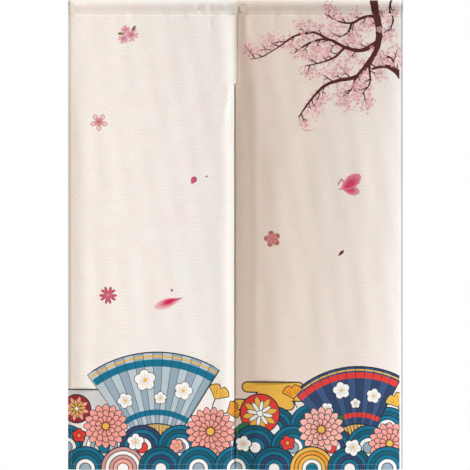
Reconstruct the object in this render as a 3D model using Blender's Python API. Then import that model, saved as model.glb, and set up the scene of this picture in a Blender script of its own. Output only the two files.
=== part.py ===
"""Noren curtain: two cloth panels sewn together at the top, with an empty rod pocket.

The origin is the middle of the top edge. +Z is up, +X is the viewer's right and the
printed face looks along -Y. Lengths below are in millimetres and are turned into metres
when the meshes are made.
"""

import math
from typing import NamedTuple

import bmesh
import bpy

MM = 0.001

WIDTH = 850.0
DROP = 1195.0
HEADING_DROP = 37.0
HEADING_OVERHANG = 1.5
SLIT_TOP = 216.0
NODE_GAP = 0.3

CLOTH = 1.3
HEM_EXTRA = 1.0
SIDE_HEM = 8.0
FOOT_HEM = 16.0
HEM_STEP = 1.0

SEAM_EDGE = 2.8
SLIT_EDGE = -3.6
TUCKED_EDGE = -5.0
TUCK_END = 13.0
TACK = 4.0

POCKET_HALF_DEPTH = 9.0
POCKET_MIDDLE = 11.0
POCKET_FOOT = 27.0
LIP_HALF_DEPTH = 1.45
POCKET_WALL = 1.4
POCKET_INNER_FOOT = 23.5
POCKET_INNER_FOOT_HALF = 0.35
WALL_SLANT = 1.15

PANEL_COLUMNS = 30
PANEL_ROWS = 22
POCKET_POINTS = 20
POCKET_STATIONS = 24


class Fold(NamedTuple):
    """A soft ridge towards the viewer, or a trough where its heights are negative."""

    at_top: float
    at_foot: float
    half_width: float
    top: float
    middle: float
    foot: float


# at_top, at_foot, half_width, height at the top, the middle and the foot
FOLDS = (
    Fold(-215.0, -215.0, 190.0, 0.9, 3.0, 4.6),
    Fold(225.0, 220.0, 190.0, 0.9, 9.2, 10.2),
    Fold(0.0, 0.0, 24.0, -1.8, -7.0, -6.0),
    Fold(22.0, 24.0, 15.0, 0.3, -1.4, -1.0),
    Fold(-42.0, -52.0, 30.0, 0.5, -1.6, -3.0),
    Fold(-98.0, -82.0, 36.0, 0.4, -1.2, -1.0),
    Fold(-130.0, -138.0, 34.0, 0.3, -0.5, 0.4),
    Fold(-165.0, -178.0, 34.0, 0.0, -0.4, 0.3),
    Fold(-268.0, -262.0, 30.0, 0.0, 0.9, 1.6),
    Fold(-335.0, -322.0, 44.0, 0.4, 2.8, 3.2),
    Fold(-385.0, -385.0, 26.0, 0.0, 2.4, 3.2),
    Fold(-428.0, -428.0, 17.0, -1.2, -2.8, -2.6),
    Fold(58.0, 72.0, 42.0, 0.6, 1.0, 1.4),
    Fold(105.0, 100.0, 34.0, 0.4, 2.4, 2.2),
    Fold(150.0, 140.0, 38.0, -0.2, 1.9, 2.3),
    Fold(212.0, 224.0, 30.0, 0.3, 0.8, 0.9),
    Fold(262.0, 280.0, 30.0, -0.1, 1.0, 0.7),
    Fold(310.0, 335.0, 34.0, 0.3, 2.0, 2.8),
    Fold(372.0, 376.0, 30.0, 0.1, 0.9, 1.4),
    Fold(430.0, 430.0, 24.0, -0.8, -2.8, -3.0),
)


class Pucker(NamedTuple):
    """A swelling of the rod pocket, or a pinch where its height is negative."""

    at: float
    half_width: float
    height: float


# at, half_width, height
PUCKERS = (
    Pucker(-405.0, 16.0, 0.5),
    Pucker(-330.0, 30.0, -0.4),
    Pucker(-240.0, 40.0, 0.4),
    Pucker(-92.0, 9.0, -0.7),
    Pucker(-74.0, 8.0, 0.6),
    Pucker(-55.0, 10.0, -0.5),
    Pucker(12.0, 8.0, -0.6),
    Pucker(36.0, 12.0, 0.5),
    Pucker(150.0, 45.0, -0.3),
    Pucker(262.0, 30.0, 0.5),
    Pucker(352.0, 22.0, -0.5),
    Pucker(404.0, 14.0, 0.4),
)


def smooth(value):
    """Ease from 0 to 1 as value goes from 0 to 1."""
    value = min(max(value, 0.0), 1.0)
    return value * value * (3.0 - 2.0 * value)


def bell(distance, half_width):
    """A soft bump of height 1, near nothing at twice its half width."""
    return math.exp(-((distance / half_width) ** 2))


def fold_height(fold, down):
    """How far a fold stands out at a depth below the seam, from 0 at the seam to 1 at the foot."""
    if down < 0.5:
        return fold.top + (fold.middle - fold.top) * smooth(down / 0.35)
    return fold.middle + (fold.foot - fold.middle) * smooth((down - 0.5) / 0.5)


def front(x, z):
    """Y of the printed face of the cloth at a place in the curtain."""
    down = min(max((-z - HEADING_DROP) / (DROP - HEADING_DROP), 0.0), 1.0)
    out = 0.0
    for fold in FOLDS:
        at = fold.at_top + (fold.at_foot - fold.at_top) * down
        out += fold_height(fold, down) * bell(x - at, fold.half_width)
    return -LIP_HALF_DEPTH - out


def tuck(x):
    """How far the right panel steps back behind the edge of the left one."""
    depth = CLOTH + HEM_EXTRA + NODE_GAP + 0.1
    return depth * (1.0 - smooth((x - SEAM_EDGE - 0.5) / (TUCK_END - SEAM_EDGE)))


def slit_edge(z):
    """X of the left panel's inner edge, which laps over the right panel down to the slit."""
    return SEAM_EDGE + (SLIT_EDGE - SEAM_EDGE) * smooth((-z - SLIT_TOP + TACK) / TACK)


def spaced(start, stop, steps, inner):
    """Even places from start to stop, with the two ends and the hem lines near them added."""
    middle = [start + (stop - start) * i / steps for i in range(1, steps)]
    low, high = start + inner, stop - inner
    keep = [place for place in middle if low + 2.0 < place < high - 2.0]
    return [start, low, low + HEM_STEP, *keep, high - HEM_STEP, high, stop]


def thickness(column, columns, row, rows):
    """Thickness of a panel at a grid point: thicker on the turned hems at its edges."""
    hemmed = column <= 1 or column >= columns - 2 or row >= rows - 2
    return CLOTH + (HEM_EXTRA if hemmed else 0.0)


def finish(name, mesh, material):
    """Turn a bmesh in millimetres into a named object with outward faces."""
    bmesh.ops.recalc_face_normals(mesh, faces=mesh.faces)
    bmesh.ops.scale(mesh, vec=(MM, MM, MM), verts=mesh.verts)
    data = bpy.data.meshes.new(name)
    mesh.to_mesh(data)
    mesh.free()
    data.materials.append(material)
    data.shade_smooth()
    part = bpy.data.objects.new(name, data)
    bpy.context.scene.collection.objects.link(part)
    return part


def cloth_material(name, colour):
    """Woven cloth with a soft, matt face."""
    material = bpy.data.materials.new(name)
    material.use_nodes = True
    shader = material.node_tree.nodes["Principled BSDF"]
    shader.inputs["Base Color"].default_value = (*colour, 1.0)
    shader.inputs["Roughness"].default_value = 0.9
    shader.inputs["Metallic"].default_value = 0.0
    material.diffuse_color = (*colour, 1.0)
    return material


def place_on_panel(side, outer, x, z):
    """X and Y of a grid column at a height, for the left or the right panel."""
    if side < 0:
        across = (x - outer) / (SEAM_EDGE - outer)
        x = outer + (slit_edge(z) - outer) * across
        return x, front(x, z)
    return x, front(x, z) + tuck(x)


def panel(name, side, material):
    """One panel: a thin sheet on the folds, with its side and foot hems turned to the back.

    side is -1 for the left panel and 1 for the right one.
    """
    outer = side * WIDTH / 2
    inner = SEAM_EDGE if side < 0 else TUCKED_EDGE
    left, right = min(outer, inner), max(outer, inner)
    xs = spaced(left, right, PANEL_COLUMNS, SIDE_HEM)
    top, foot = -HEADING_DROP - NODE_GAP, -DROP
    slit = [-SLIT_TOP + TACK, -SLIT_TOP]
    even = [top + (foot - top) * i / PANEL_ROWS for i in range(PANEL_ROWS)]
    clear = [z for z in even if min(abs(z - s) for s in slit) > 8.0 and z > foot + FOOT_HEM + 4.0]
    zs = sorted([*clear, *slit, foot + FOOT_HEM + HEM_STEP, foot + FOOT_HEM, foot], reverse=True)
    mesh = bmesh.new()
    faces = ([], [])
    for row, z in enumerate(zs):
        for line in faces:
            line.append([])
        for column, flat_x in enumerate(xs):
            x, y = place_on_panel(side, outer, flat_x, z)
            back = y + thickness(column, len(xs), row, len(zs))
            faces[0][row].append(mesh.verts.new((x, y, z)))
            faces[1][row].append(mesh.verts.new((x, back, z)))
    rows, columns = len(zs), len(xs)
    for line in faces:
        for row in range(rows - 1):
            for column in range(columns - 1):
                mesh.faces.new((line[row][column], line[row][column + 1],
                                line[row + 1][column + 1], line[row + 1][column]))
    rim = [(0, column) for column in range(columns)]
    rim += [(row, columns - 1) for row in range(1, rows)]
    rim += [(rows - 1, column) for column in range(columns - 2, -1, -1)]
    rim += [(row, 0) for row in range(rows - 2, 0, -1)]
    for (row, column), (next_row, next_column) in zip(rim, rim[1:] + rim[:1]):
        mesh.faces.new((faces[0][row][column], faces[0][next_row][next_column],
                        faces[1][next_row][next_column], faces[1][row][column]))
    return finish(name, mesh, material)


def pocket_half_depth(drop):
    """Half the depth of the rod pocket's outside, at a drop below the top edge."""
    if drop < POCKET_MIDDLE:
        rise = (POCKET_MIDDLE - drop) / POCKET_MIDDLE
        return POCKET_HALF_DEPTH * math.sqrt(max(1.0 - rise * rise, 0.0))
    closing = min((drop - POCKET_MIDDLE) / (POCKET_FOOT - POCKET_MIDDLE), 1.0)
    return LIP_HALF_DEPTH + (POCKET_HALF_DEPTH - LIP_HALF_DEPTH) * (1.0 - smooth(closing))


def outer_section():
    """Side and drop of each point around the outside of the pocket, from the top down the front."""
    half = POCKET_POINTS // 2
    drops = [POCKET_MIDDLE * (1.0 - math.cos(math.pi / 2 * i / 4)) for i in range(1, 5)]
    below = half - len(drops)
    closing = POCKET_FOOT - POCKET_MIDDLE
    drops += [POCKET_MIDDLE + closing * (i + 1) / (below - 1) for i in range(below - 1)]
    front_side = [(-pocket_half_depth(drop), drop) for drop in drops]
    front_side.append((-LIP_HALF_DEPTH, HEADING_DROP))
    back_side = [(-y, drop) for y, drop in reversed(front_side)]
    return [(0.0, 0.0), *front_side, *back_side]


def inner_section(outer):
    """The hollow of the pocket, a wall inside the outer points and closed at its foot."""
    inner = []
    for y, drop in outer:
        side = math.copysign(1.0, y) if y else 0.0
        deep = POCKET_WALL + drop / HEADING_DROP * (POCKET_INNER_FOOT - POCKET_WALL)
        half = pocket_half_depth(deep) - POCKET_WALL * WALL_SLANT
        inner.append((side * max(half, POCKET_INNER_FOOT_HALF), deep))
    return inner


def swell(x):
    """How much wider the pocket is than its usual depth."""
    return 1.0 + sum(p.height * bell(x - p.at, p.half_width) for p in PUCKERS) / POCKET_HALF_DEPTH


def pocket_ring(mesh, section, x):
    """The points of a section of the pocket at a place along it."""
    ring = []
    for y, drop in section:
        held = smooth((drop - POCKET_MIDDLE) / (POCKET_FOOT - POCKET_MIDDLE))
        swollen = y * (swell(x) + (1.0 - swell(x)) * held)
        lean = (front(x, -HEADING_DROP) + LIP_HALF_DEPTH) * held
        ring.append(mesh.verts.new((x, swollen + lean, -drop)))
    return ring


def heading(name, start, stop, material):
    """One heading: the empty rod pocket, with the flat lip where it is sewn down."""
    outer = outer_section()
    inner = inner_section(outer)
    mesh = bmesh.new()
    rings = []
    for station in range(POCKET_STATIONS + 1):
        x = start + (stop - start) * station / POCKET_STATIONS
        rings.append((pocket_ring(mesh, outer, x), pocket_ring(mesh, inner, x)))
    count = len(outer)
    for here, there in zip(rings, rings[1:]):
        for wall in (0, 1):
            for point in range(count):
                after = (point + 1) % count
                mesh.faces.new((here[wall][point], here[wall][after],
                                there[wall][after], there[wall][point]))
    for outside, inside in (rings[0], rings[-1]):
        for point in range(count):
            after = (point + 1) % count
            mesh.faces.new((outside[point], outside[after], inside[after], inside[point]))
    return finish(name, mesh, material)


def main():
    """Clear the scene and build the four cloth pieces."""
    for existing in list(bpy.data.objects):
        bpy.data.objects.remove(existing)
    left_cloth = cloth_material("cloth_left", (0.86, 0.80, 0.72))
    right_cloth = cloth_material("cloth_right", (0.80, 0.73, 0.65))
    left_heading = cloth_material("heading_cloth_left", (0.78, 0.72, 0.66))
    right_heading = cloth_material("heading_cloth_right", (0.76, 0.70, 0.63))
    panel("panel_left", -1, left_cloth)
    panel("panel_right", 1, right_cloth)
    half = WIDTH / 2
    heading("heading_left", -half - HEADING_OVERHANG, SEAM_EDGE - NODE_GAP / 2, left_heading)
    heading("heading_right", SEAM_EDGE + NODE_GAP / 2, half, right_heading)


main()
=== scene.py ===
"""Noren curtain: two printed cloth panels, sewn together at the top, over an empty rod pocket.

Lengths are in millimetres and are turned into metres when meshes are made. x runs to the
viewer's right from the middle of the curtain, and down is the distance below the top edge
along the hung cloth. Angles are in degrees, from 0 to the right and 90 upwards.
"""

import logging
import math
import random
from collections.abc import Sequence
from dataclasses import dataclass, field
from enum import Enum
from typing import NamedTuple, Protocol

import bpy
import numpy as np
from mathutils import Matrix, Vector
from mathutils.geometry import delaunay_2d_cdt


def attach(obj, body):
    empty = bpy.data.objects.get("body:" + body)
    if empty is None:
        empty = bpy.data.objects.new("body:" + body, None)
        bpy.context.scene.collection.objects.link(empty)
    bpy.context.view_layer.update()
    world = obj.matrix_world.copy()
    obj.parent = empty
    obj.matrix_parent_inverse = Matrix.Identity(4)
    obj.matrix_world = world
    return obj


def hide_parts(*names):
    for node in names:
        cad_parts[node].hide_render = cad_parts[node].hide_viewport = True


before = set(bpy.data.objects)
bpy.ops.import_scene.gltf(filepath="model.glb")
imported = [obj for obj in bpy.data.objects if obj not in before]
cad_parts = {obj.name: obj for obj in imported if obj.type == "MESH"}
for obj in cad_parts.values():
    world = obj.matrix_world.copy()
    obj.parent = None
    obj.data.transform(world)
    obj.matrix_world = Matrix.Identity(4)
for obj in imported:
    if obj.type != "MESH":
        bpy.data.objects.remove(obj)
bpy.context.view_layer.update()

log = logging.getLogger("noren")

MM = 0.001

# The hung curtain
WIDTH = 850.0
DROP = 1195.0
HEADING_DROP = 37.0
HEADING_OVERHANG = 1.5
RIGHT_OVERHANG = 0.9
SLIT_TOP = 216.0
SEAM_EDGE = 2.8
SLIT_EDGE = -3.6
TUCKED_EDGE = -5.0
TACK = 4.0
SEAM_GAP = 0.15
LAP_LINE = -5.2
PLEAT_AT = 7.4

# The cloth, its hems and its print
CLOTH = 0.7
HEM_EXTRA = 0.7
SIDE_HEM = 8.0
FOOT_HEM = 16.0
HEM_STEP = 0.8
BARE_EDGE = 417.4
LINE = 3.1
COARSE_BELOW = 9.5

# The rod pocket
POCKET_HALF_DEPTH = 9.0
POCKET_MIDDLE = 11.0
POCKET_FOOT = 33.0
LIP_FRONT = 1.45
LIP_BACK = 0.15
BACK_LAYER_DROP = 40.0

# The sewn lines and the length from one stitch to the next
HEADING_LINE = HEADING_DROP - 0.8
FOOT_LINE = DROP - FOOT_HEM + 2.0
SIDE_LINE = WIDTH / 2 - SIDE_HEM + 1.5
HEM_PITCH = 3.2
HEADING_PITCH = 2.8
LAP_PITCH = 3.0
TACK_PITCH = 1.5

Points = np.ndarray
Colour = tuple[float, float, float]
Socket = bpy.types.NodeSocket
Value = float | Socket


def tone(red: int, green: int, blue: int) -> Colour:
    """A display colour of 0 to 255 as the linear colour that shaders take.

    Args:
        red: Red, from 0 to 255.
        green: Green, from 0 to 255.
        blue: Blue, from 0 to 255.

    Returns:
        The linear colour.
    """
    def linear(value: float) -> float:
        """One channel, from display to linear."""
        return value / 12.92 if value <= 0.04045 else ((value + 0.055) / 1.055) ** 2.4
    return linear(red / 255), linear(green / 255), linear(blue / 255)


def smooth(value: Points | float) -> Points:
    """Ease from 0 to 1 as value goes from 0 to 1."""
    value = np.clip(value, 0.0, 1.0)
    return value * value * (3.0 - 2.0 * value)


def bell(distance: Points | float, half_width: float) -> Points:
    """A soft bump of height 1, near nothing at twice its half width."""
    return np.exp(-((distance / half_width) ** 2))


def polar(x: float, down: float, reach: float, angle: float) -> tuple[float, float]:
    """The place at a distance and an angle from another place."""
    turn = math.radians(angle)
    return x + reach * math.cos(turn), down - reach * math.sin(turn)


class Side(Enum):
    """Which of the two panels."""

    LEFT = -1
    RIGHT = 1


class Fold(NamedTuple):
    """A soft ridge towards the viewer, or a trough where its heights are negative."""

    at_top: float
    at_foot: float
    half_width: float
    top: float
    middle: float
    foot: float


class Crease(NamedTuple):
    """A short soft ridge along a line, or a dent where its height is negative."""

    x: float
    down: float
    end_x: float
    end_down: float
    half_width: float
    height: float


class Pucker(NamedTuple):
    """A swelling of the rod pocket, or a pinch where its height is negative."""

    at: float
    half_width: float
    height: float


class Ripple(NamedTuple):
    """A fine wave over the whole cloth: its height, its pitches both ways and its phase."""

    height: float
    across: float
    along: float
    phase: float


class Pull(NamedTuple):
    """How far a sewn line pulls the cloth back, and the half width of the dent."""

    depth: float
    half_width: float


# at_top, at_foot, half_width, height at the top, the middle and the foot
FOLDS = (
    Fold(-215.0, -215.0, 190.0, 0.9, 3.0, 4.6),
    Fold(225.0, 220.0, 190.0, 0.9, 9.2, 10.2),
    Fold(4.0, 4.0, 25.0, -3.4, -6.7, -6.0),
    Fold(22.0, 24.0, 15.0, 1.5, -1.4, -1.0),
    Fold(-44.0, -54.0, 28.0, 0.5, -1.0, -1.8),
    Fold(-98.0, -82.0, 36.0, 0.4, -1.2, -1.0),
    Fold(-130.0, -138.0, 34.0, 0.3, -0.5, 0.4),
    Fold(-165.0, -178.0, 34.0, 0.0, -0.4, 0.3),
    Fold(-268.0, -262.0, 30.0, 0.0, 0.9, 1.6),
    Fold(-335.0, -322.0, 44.0, 0.4, 2.8, 3.2),
    Fold(-385.0, -385.0, 26.0, 0.0, 2.4, 3.2),
    Fold(-428.0, -428.0, 17.0, -1.2, -2.8, -2.6),
    Fold(58.0, 72.0, 42.0, 0.6, 1.0, 1.4),
    Fold(105.0, 100.0, 34.0, 0.4, 2.4, 2.2),
    Fold(150.0, 140.0, 38.0, -0.2, 1.9, 2.3),
    Fold(212.0, 224.0, 30.0, 0.3, 0.8, 0.9),
    Fold(262.0, 280.0, 30.0, -0.1, 1.0, 0.7),
    Fold(310.0, 335.0, 34.0, 0.3, 2.0, 2.8),
    Fold(372.0, 376.0, 30.0, 0.1, 0.9, 1.4),
    Fold(430.0, 430.0, 24.0, -0.8, -2.8, -3.0),
)

# at, half_width, height
PUCKERS = (
    Pucker(-405.0, 16.0, 0.5),
    Pucker(-330.0, 30.0, -0.4),
    Pucker(-240.0, 40.0, 0.4),
    Pucker(-90.0, 10.0, -0.4),
    Pucker(-52.0, 14.0, -0.5),
    Pucker(40.0, 14.0, 0.4),
    Pucker(150.0, 45.0, -0.3),
    Pucker(262.0, 30.0, 0.5),
    Pucker(352.0, 22.0, -0.5),
    Pucker(404.0, 14.0, 0.4),
)

# x, down, end_x, end_down, half_width, height
CREASES = (
    Crease(-93.0, 12.0, -92.0, 32.0, 5.0, -1.9),
    Crease(-61.0, 12.0, -64.0, 32.0, 5.0, -1.9),
    Crease(-42.0, 12.0, -40.0, 28.0, 4.2, -1.1),
    Crease(29.0, 8.0, 31.0, 34.0, 7.0, 1.0),
    Crease(-33.0, 8.0, -33.0, 34.0, 6.5, 0.9),
    Crease(-428.0, 6.0, -427.0, 36.0, 6.5, -2.4),
    Crease(-408.0, 6.0, -404.0, 30.0, 4.0, 0.8),
    Crease(-400.0, 40.0, -392.0, 78.0, 5.0, -0.4),
    Crease(-300.0, 38.0, -304.0, 70.0, 6.0, -0.35),
    Crease(-252.0, 38.0, -246.0, 84.0, 7.0, 0.35),
    Crease(-180.0, 38.0, -176.0, 66.0, 5.0, -0.4),
    Crease(-66.0, 38.0, -60.0, 92.0, 6.0, -0.5),
    Crease(26.0, 38.0, 34.0, 100.0, 7.0, 0.5),
    Crease(96.0, 38.0, 92.0, 70.0, 6.0, -0.35),
    Crease(188.0, 38.0, 196.0, 80.0, 6.0, 0.35),
    Crease(292.0, 38.0, 288.0, 72.0, 5.0, -0.4),
    Crease(386.0, 38.0, 380.0, 84.0, 6.0, -0.4),
    Crease(-16.0, 218.0, -34.0, 330.0, 9.0, 0.9),
    Crease(14.0, 220.0, 34.0, 360.0, 9.0, 0.9),
    Crease(-300.0, 1120.0, -310.0, 1195.0, 14.0, 0.8),
    Crease(190.0, 1110.0, 180.0, 1195.0, 14.0, -0.8),
)


RIPPLES = (Ripple(0.16, 17.0, 61.0, 0.0), Ripple(0.14, 9.3, -47.0, 1.3))


def pocket_half_depth(drop: Points, lip: float) -> Points:
    """How far the rod pocket stands out from its middle plane.

    Args:
        drop: Distances straight down from the top edge.
        lip: How far it stands out where it is sewn flat.

    Returns:
        The distance at each drop.
    """
    rise = np.clip((POCKET_MIDDLE - drop) / POCKET_MIDDLE, 0.0, 1.0)
    closing = (drop - POCKET_MIDDLE) / (POCKET_FOOT - POCKET_MIDDLE)
    below = lip + (POCKET_HALF_DEPTH - lip) * (1.0 - smooth(closing))
    return np.where(drop < POCKET_MIDDLE, POCKET_HALF_DEPTH * np.sqrt(1.0 - rise * rise), below)


@dataclass
class HungShape:
    """The shape in which the cloth hangs: the rod pocket, the folds and the small creases."""

    folds: tuple[Fold, ...] = FOLDS
    creases: tuple[Crease, ...] = CREASES
    puckers: tuple[Pucker, ...] = PUCKERS
    ripples: tuple[Ripple, ...] = RIPPLES
    gather_height: float = 0.32
    gather_reach: float = 9.0
    heading_pull: Pull = Pull(0.9, 1.6)
    foot_pull: Pull = Pull(0.25, 1.5)
    lap_pull: Pull = Pull(0.12, 1.2)
    lap_pull_in_heading: float = 0.4
    side_pull: Pull = Pull(0.2, 1.5)
    tuck_depth: float = 2.0
    tuck_deepens: float = 2.4
    tuck_start: float = 8.0
    tuck_end: float = 18.0
    tuck_widens: float = 38.0
    widens_from: float = 84.0
    widens_over: float = 96.0
    deepens_above_slit: float = 26.0
    deepens_over: float = 60.0
    dip_depth: float = 0.5
    dip_deepens: float = 3.1
    pleat_depth: float = 4.6
    pleat_width: float = 21.0
    lap_rise: float = 0.4
    section_down: Points = field(init=False)
    section_y: Points = field(init=False)
    section_drop: Points = field(init=False)

    def __post_init__(self) -> None:
        """Lay out the cloth's path over the pocket, from the front lip to the back one."""
        turn = np.linspace(0.0, math.pi / 2, 24)
        round_top = POCKET_MIDDLE * (1.0 - np.cos(turn))
        front_drop = np.concatenate([round_top, np.linspace(POCKET_MIDDLE, HEADING_DROP, 40)[1:]])
        back_drop = np.concatenate([round_top, np.linspace(POCKET_MIDDLE, BACK_LAYER_DROP, 40)[1:]])
        drop = np.concatenate([front_drop[::-1], back_drop[1:]])
        y = np.concatenate([-pocket_half_depth(front_drop, LIP_FRONT)[::-1],
                            pocket_half_depth(back_drop, LIP_BACK)[1:]])
        steps = np.hypot(np.diff(drop), np.diff(y))
        down = HEADING_DROP - np.concatenate([[0.0], np.cumsum(steps)])
        self.section_down, self.section_y, self.section_drop = down[::-1], y[::-1], drop[::-1]

    @property
    def back_end(self) -> float:
        """The down of the pocket's back edge, which is the cloth's upper cut edge."""
        return float(self.section_down[0])

    def swell(self, x: Points) -> Points:
        """How much wider the pocket is than its usual depth."""
        heights = sum(p.height * bell(x - p.at, p.half_width) for p in self.puckers)
        return 1.0 + heights / POCKET_HALF_DEPTH

    def fold_out(self, x: Points, down: Points) -> Points:
        """How far the folds bring the cloth towards the viewer.

        Args:
            x: Distances to the right.
            down: Distances below the top edge along the cloth.

        Returns:
            The distance at each place.
        """
        share = np.clip((down - HEADING_DROP) / (DROP - HEADING_DROP), 0.0, 1.0)
        out = np.zeros_like(x)
        for fold in self.folds:
            upper = fold.top + (fold.middle - fold.top) * smooth(share / 0.35)
            lower = fold.middle + (fold.foot - fold.middle) * smooth((share - 0.5) / 0.5)
            at = fold.at_top + (fold.at_foot - fold.at_top) * share
            out += np.where(share < 0.5, upper, lower) * bell(x - at, fold.half_width)
        return out

    def crease_out(self, x: Points, down: Points) -> Points:
        """How far the short creases bring the cloth towards the viewer.

        Args:
            x: Distances to the right.
            down: Distances below the top edge along the cloth.

        Returns:
            The distance at each place, with the fine ripples.
        """
        out = np.zeros_like(x)
        for crease in self.creases:
            along_x, along_down = crease.end_x - crease.x, crease.end_down - crease.down
            length = math.hypot(along_x, along_down)
            share = ((x - crease.x) * along_x + (down - crease.down) * along_down) / length ** 2
            across = ((x - crease.x) * along_down - (down - crease.down) * along_x) / length
            ends = smooth(share / 0.3 + 0.5) * smooth((1.0 - share) / 0.5 + 0.3)
            out += crease.height * bell(across, crease.half_width) * ends
        ripple = sum(r.height * np.sin(x / r.across + down / r.along + r.phase) for r in self.ripples)
        uneven = np.sin(x / 5.1) * np.sin(x / 23.0 + 0.6)
        gathered = self.gather_height * uneven * bell(down - HEADING_DROP, self.gather_reach)
        return out + ripple + gathered

    def seams_in(self, x: Points, down: Points) -> Points:
        """How far the sewn lines pull the cloth back.

        Args:
            x: Distances to the right.
            down: Distances below the top edge along the cloth.

        Returns:
            The distance at each place.
        """
        heading = self.heading_pull.depth * bell(down - HEADING_LINE, self.heading_pull.half_width)
        foot = self.foot_pull.depth * bell(down - FOOT_LINE, self.foot_pull.half_width)
        lap = self.lap_pull.depth + self.lap_pull_in_heading * smooth((HEADING_DROP - down) / 3.0)
        lap = lap * bell(x - LAP_LINE, self.lap_pull.half_width) * smooth((SLIT_TOP - down) / TACK)
        sides = self.side_pull.depth * bell(np.abs(x) - SIDE_LINE, self.side_pull.half_width)
        return heading + foot + lap + sides

    def face(self, side: Side, x: Points, down: Points) -> Points:
        """Places of the printed face.

        Args:
            side: The panel.
            x: Distances to the right.
            down: Distances below the top edge along the cloth, negative behind it.

        Returns:
            An array of x, y and z for each place, in millimetres.
        """
        drop = np.where(down < HEADING_DROP, np.interp(down, self.section_down, self.section_drop), down)
        path = np.interp(down, self.section_down, self.section_y)
        held = smooth((drop - POCKET_MIDDLE) / (POCKET_FOOT - POCKET_MIDDLE))
        pocket = path * (self.swell(x) + (1.0 - self.swell(x)) * held)
        hung = path - held * self.fold_out(x, down)
        folds_at_lip = self.fold_out(x, np.full_like(x, HEADING_DROP))
        y = np.where(down < HEADING_DROP, pocket - held * folds_at_lip, hung)
        facing = np.where(down < HEADING_DROP, -np.sign(path), 1.0) * smooth((down + 4.0) / 4.0)
        y = y - facing * self.crease_out(x, down) + self.seams_in(x, down) * smooth(down / 20.0)
        if side is Side.RIGHT:
            y = y + self.tucked_in(x, down)
        else:
            sewn = smooth((SLIT_TOP - down) / TACK) * smooth((down - HEADING_DROP) / 4.0)
            y = y - self.lap_rise * smooth((x - LAP_LINE) / (SEAM_EDGE - LAP_LINE)) * sewn
        return np.stack([x, y, -drop], axis=-1)

    def tucked_in(self, x: Points, down: Points) -> Points:
        """How far the right panel steps back behind the left one, and the pleat in its heading.

        Args:
            x: Distances to the right.
            down: Distances below the top edge along the cloth.

        Returns:
            The distance at each place.
        """
        wider = smooth((down - self.widens_from) / self.widens_over)
        tuck_end = self.tuck_end + self.tuck_widens * wider
        lap = 1.0 - smooth((x - self.tuck_start) / (tuck_end - self.tuck_start))
        open_slit = smooth((down - SLIT_TOP + TACK) / TACK)
        dip_end = SEAM_EDGE + 0.9 + (SLIT_EDGE - SEAM_EDGE + 1.9) * open_slit
        dip = (self.dip_depth + self.dip_deepens * open_slit) * (1.0 - smooth((x - dip_end) / 2.2))
        deeper = self.tuck_deepens * smooth((down - SLIT_TOP + self.deepens_above_slit) / self.deepens_over)
        below = smooth((down - HEADING_DROP) / 3.0)
        pleat = smooth((x - PLEAT_AT) / 0.9) * (1.0 - smooth((x - PLEAT_AT) / self.pleat_width))
        pleat = self.pleat_depth * pleat * smooth((down - 6.0) / 12.0) * (1.0 - below)
        return ((self.tuck_depth + deeper) * lap + dip) * below + pleat

    def normal(self, side: Side, x: Points, down: Points) -> Points:
        """Outward directions of the printed face at the same places.

        Args:
            side: The panel.
            x: Distances to the right.
            down: Distances below the top edge along the cloth.

        Returns:
            A direction of length 1 for each place.
        """
        step = 0.4
        across = self.face(side, x + step, down) - self.face(side, x - step, down)
        along = self.face(side, x, down + step) - self.face(side, x, down - step)
        out = np.cross(along, across)
        return out / np.linalg.norm(out, axis=-1, keepdims=True)


@dataclass(frozen=True)
class Ink:
    """One printed colour. cover is 1 where it hides what lies below it."""

    colour: Colour
    cover: float = 1.0

    def at(self, places: Points) -> Points:
        """The colour at each place."""
        return np.broadcast_to(np.array(self.colour), (len(places), 3))


@dataclass(frozen=True)
class Wash(Ink):
    """A printed colour that turns into another one away from a place."""

    far: Colour = (1.0, 1.0, 1.0)
    x: float = 0.0
    down: float = 0.0
    reach: float = 10.0

    def at(self, places: Points) -> Points:
        """The colour at each place.

        Args:
            places: Places on the flat cloth, as x and down.

        Returns:
            A colour for each place.
        """
        away = np.hypot(places[:, 0] - self.x, places[:, 1] - self.down) / self.reach
        share = smooth(away)[:, None]
        return np.array(self.colour) * (1.0 - share) + np.array(self.far) * share


@dataclass(frozen=True)
class Patch:
    """A closed outline filled with an ink."""

    outline: Points
    ink: Ink

    def holds(self, places: Points) -> Points:
        """Which places lie inside the outline, by their winding number.

        Args:
            places: Places on the flat cloth, as x and down.

        Returns:
            True for each place inside.
        """
        start = self.outline
        stop = np.roll(start, -1, axis=0)
        x, down = places[:, 0][:, None], places[:, 1][:, None]
        along = stop - start
        side = along[:, 0] * (down - start[:, 1]) - (x - start[:, 0]) * along[:, 1]
        rising = (start[:, 1] <= down) & (stop[:, 1] > down) & (side > 0)
        falling = (start[:, 1] > down) & (stop[:, 1] <= down) & (side < 0)
        return rising.sum(axis=1) != falling.sum(axis=1)


def disc(x: float, down: float, radius: float, count: int = 32) -> Points:
    """The outline of a circle."""
    angles = np.linspace(0.0, 2.0 * math.pi, count, endpoint=False)
    return np.stack([x + radius * np.cos(angles), down - radius * np.sin(angles)], axis=-1)


def sector(x: float, down: float, inner: float, outer: float, start: float, stop: float) -> Points:
    """The outline of a slice of a ring.

    Args:
        x: Where its middle lies to the right.
        down: Where its middle lies below the top.
        inner: The inner radius.
        outer: The outer radius.
        start: The angle where it starts.
        stop: The angle where it stops.

    Returns:
        The closed outline.
    """
    count = max(3, int(abs(stop - start) / 4.0) + 2)
    angles = np.radians(np.linspace(start, stop, count))
    rim = np.stack([x + outer * np.cos(angles), down - outer * np.sin(angles)], axis=-1)
    hub = np.stack([x + inner * np.cos(angles), down - inner * np.sin(angles)], axis=-1)
    return np.concatenate([rim, hub[::-1]])


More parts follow.
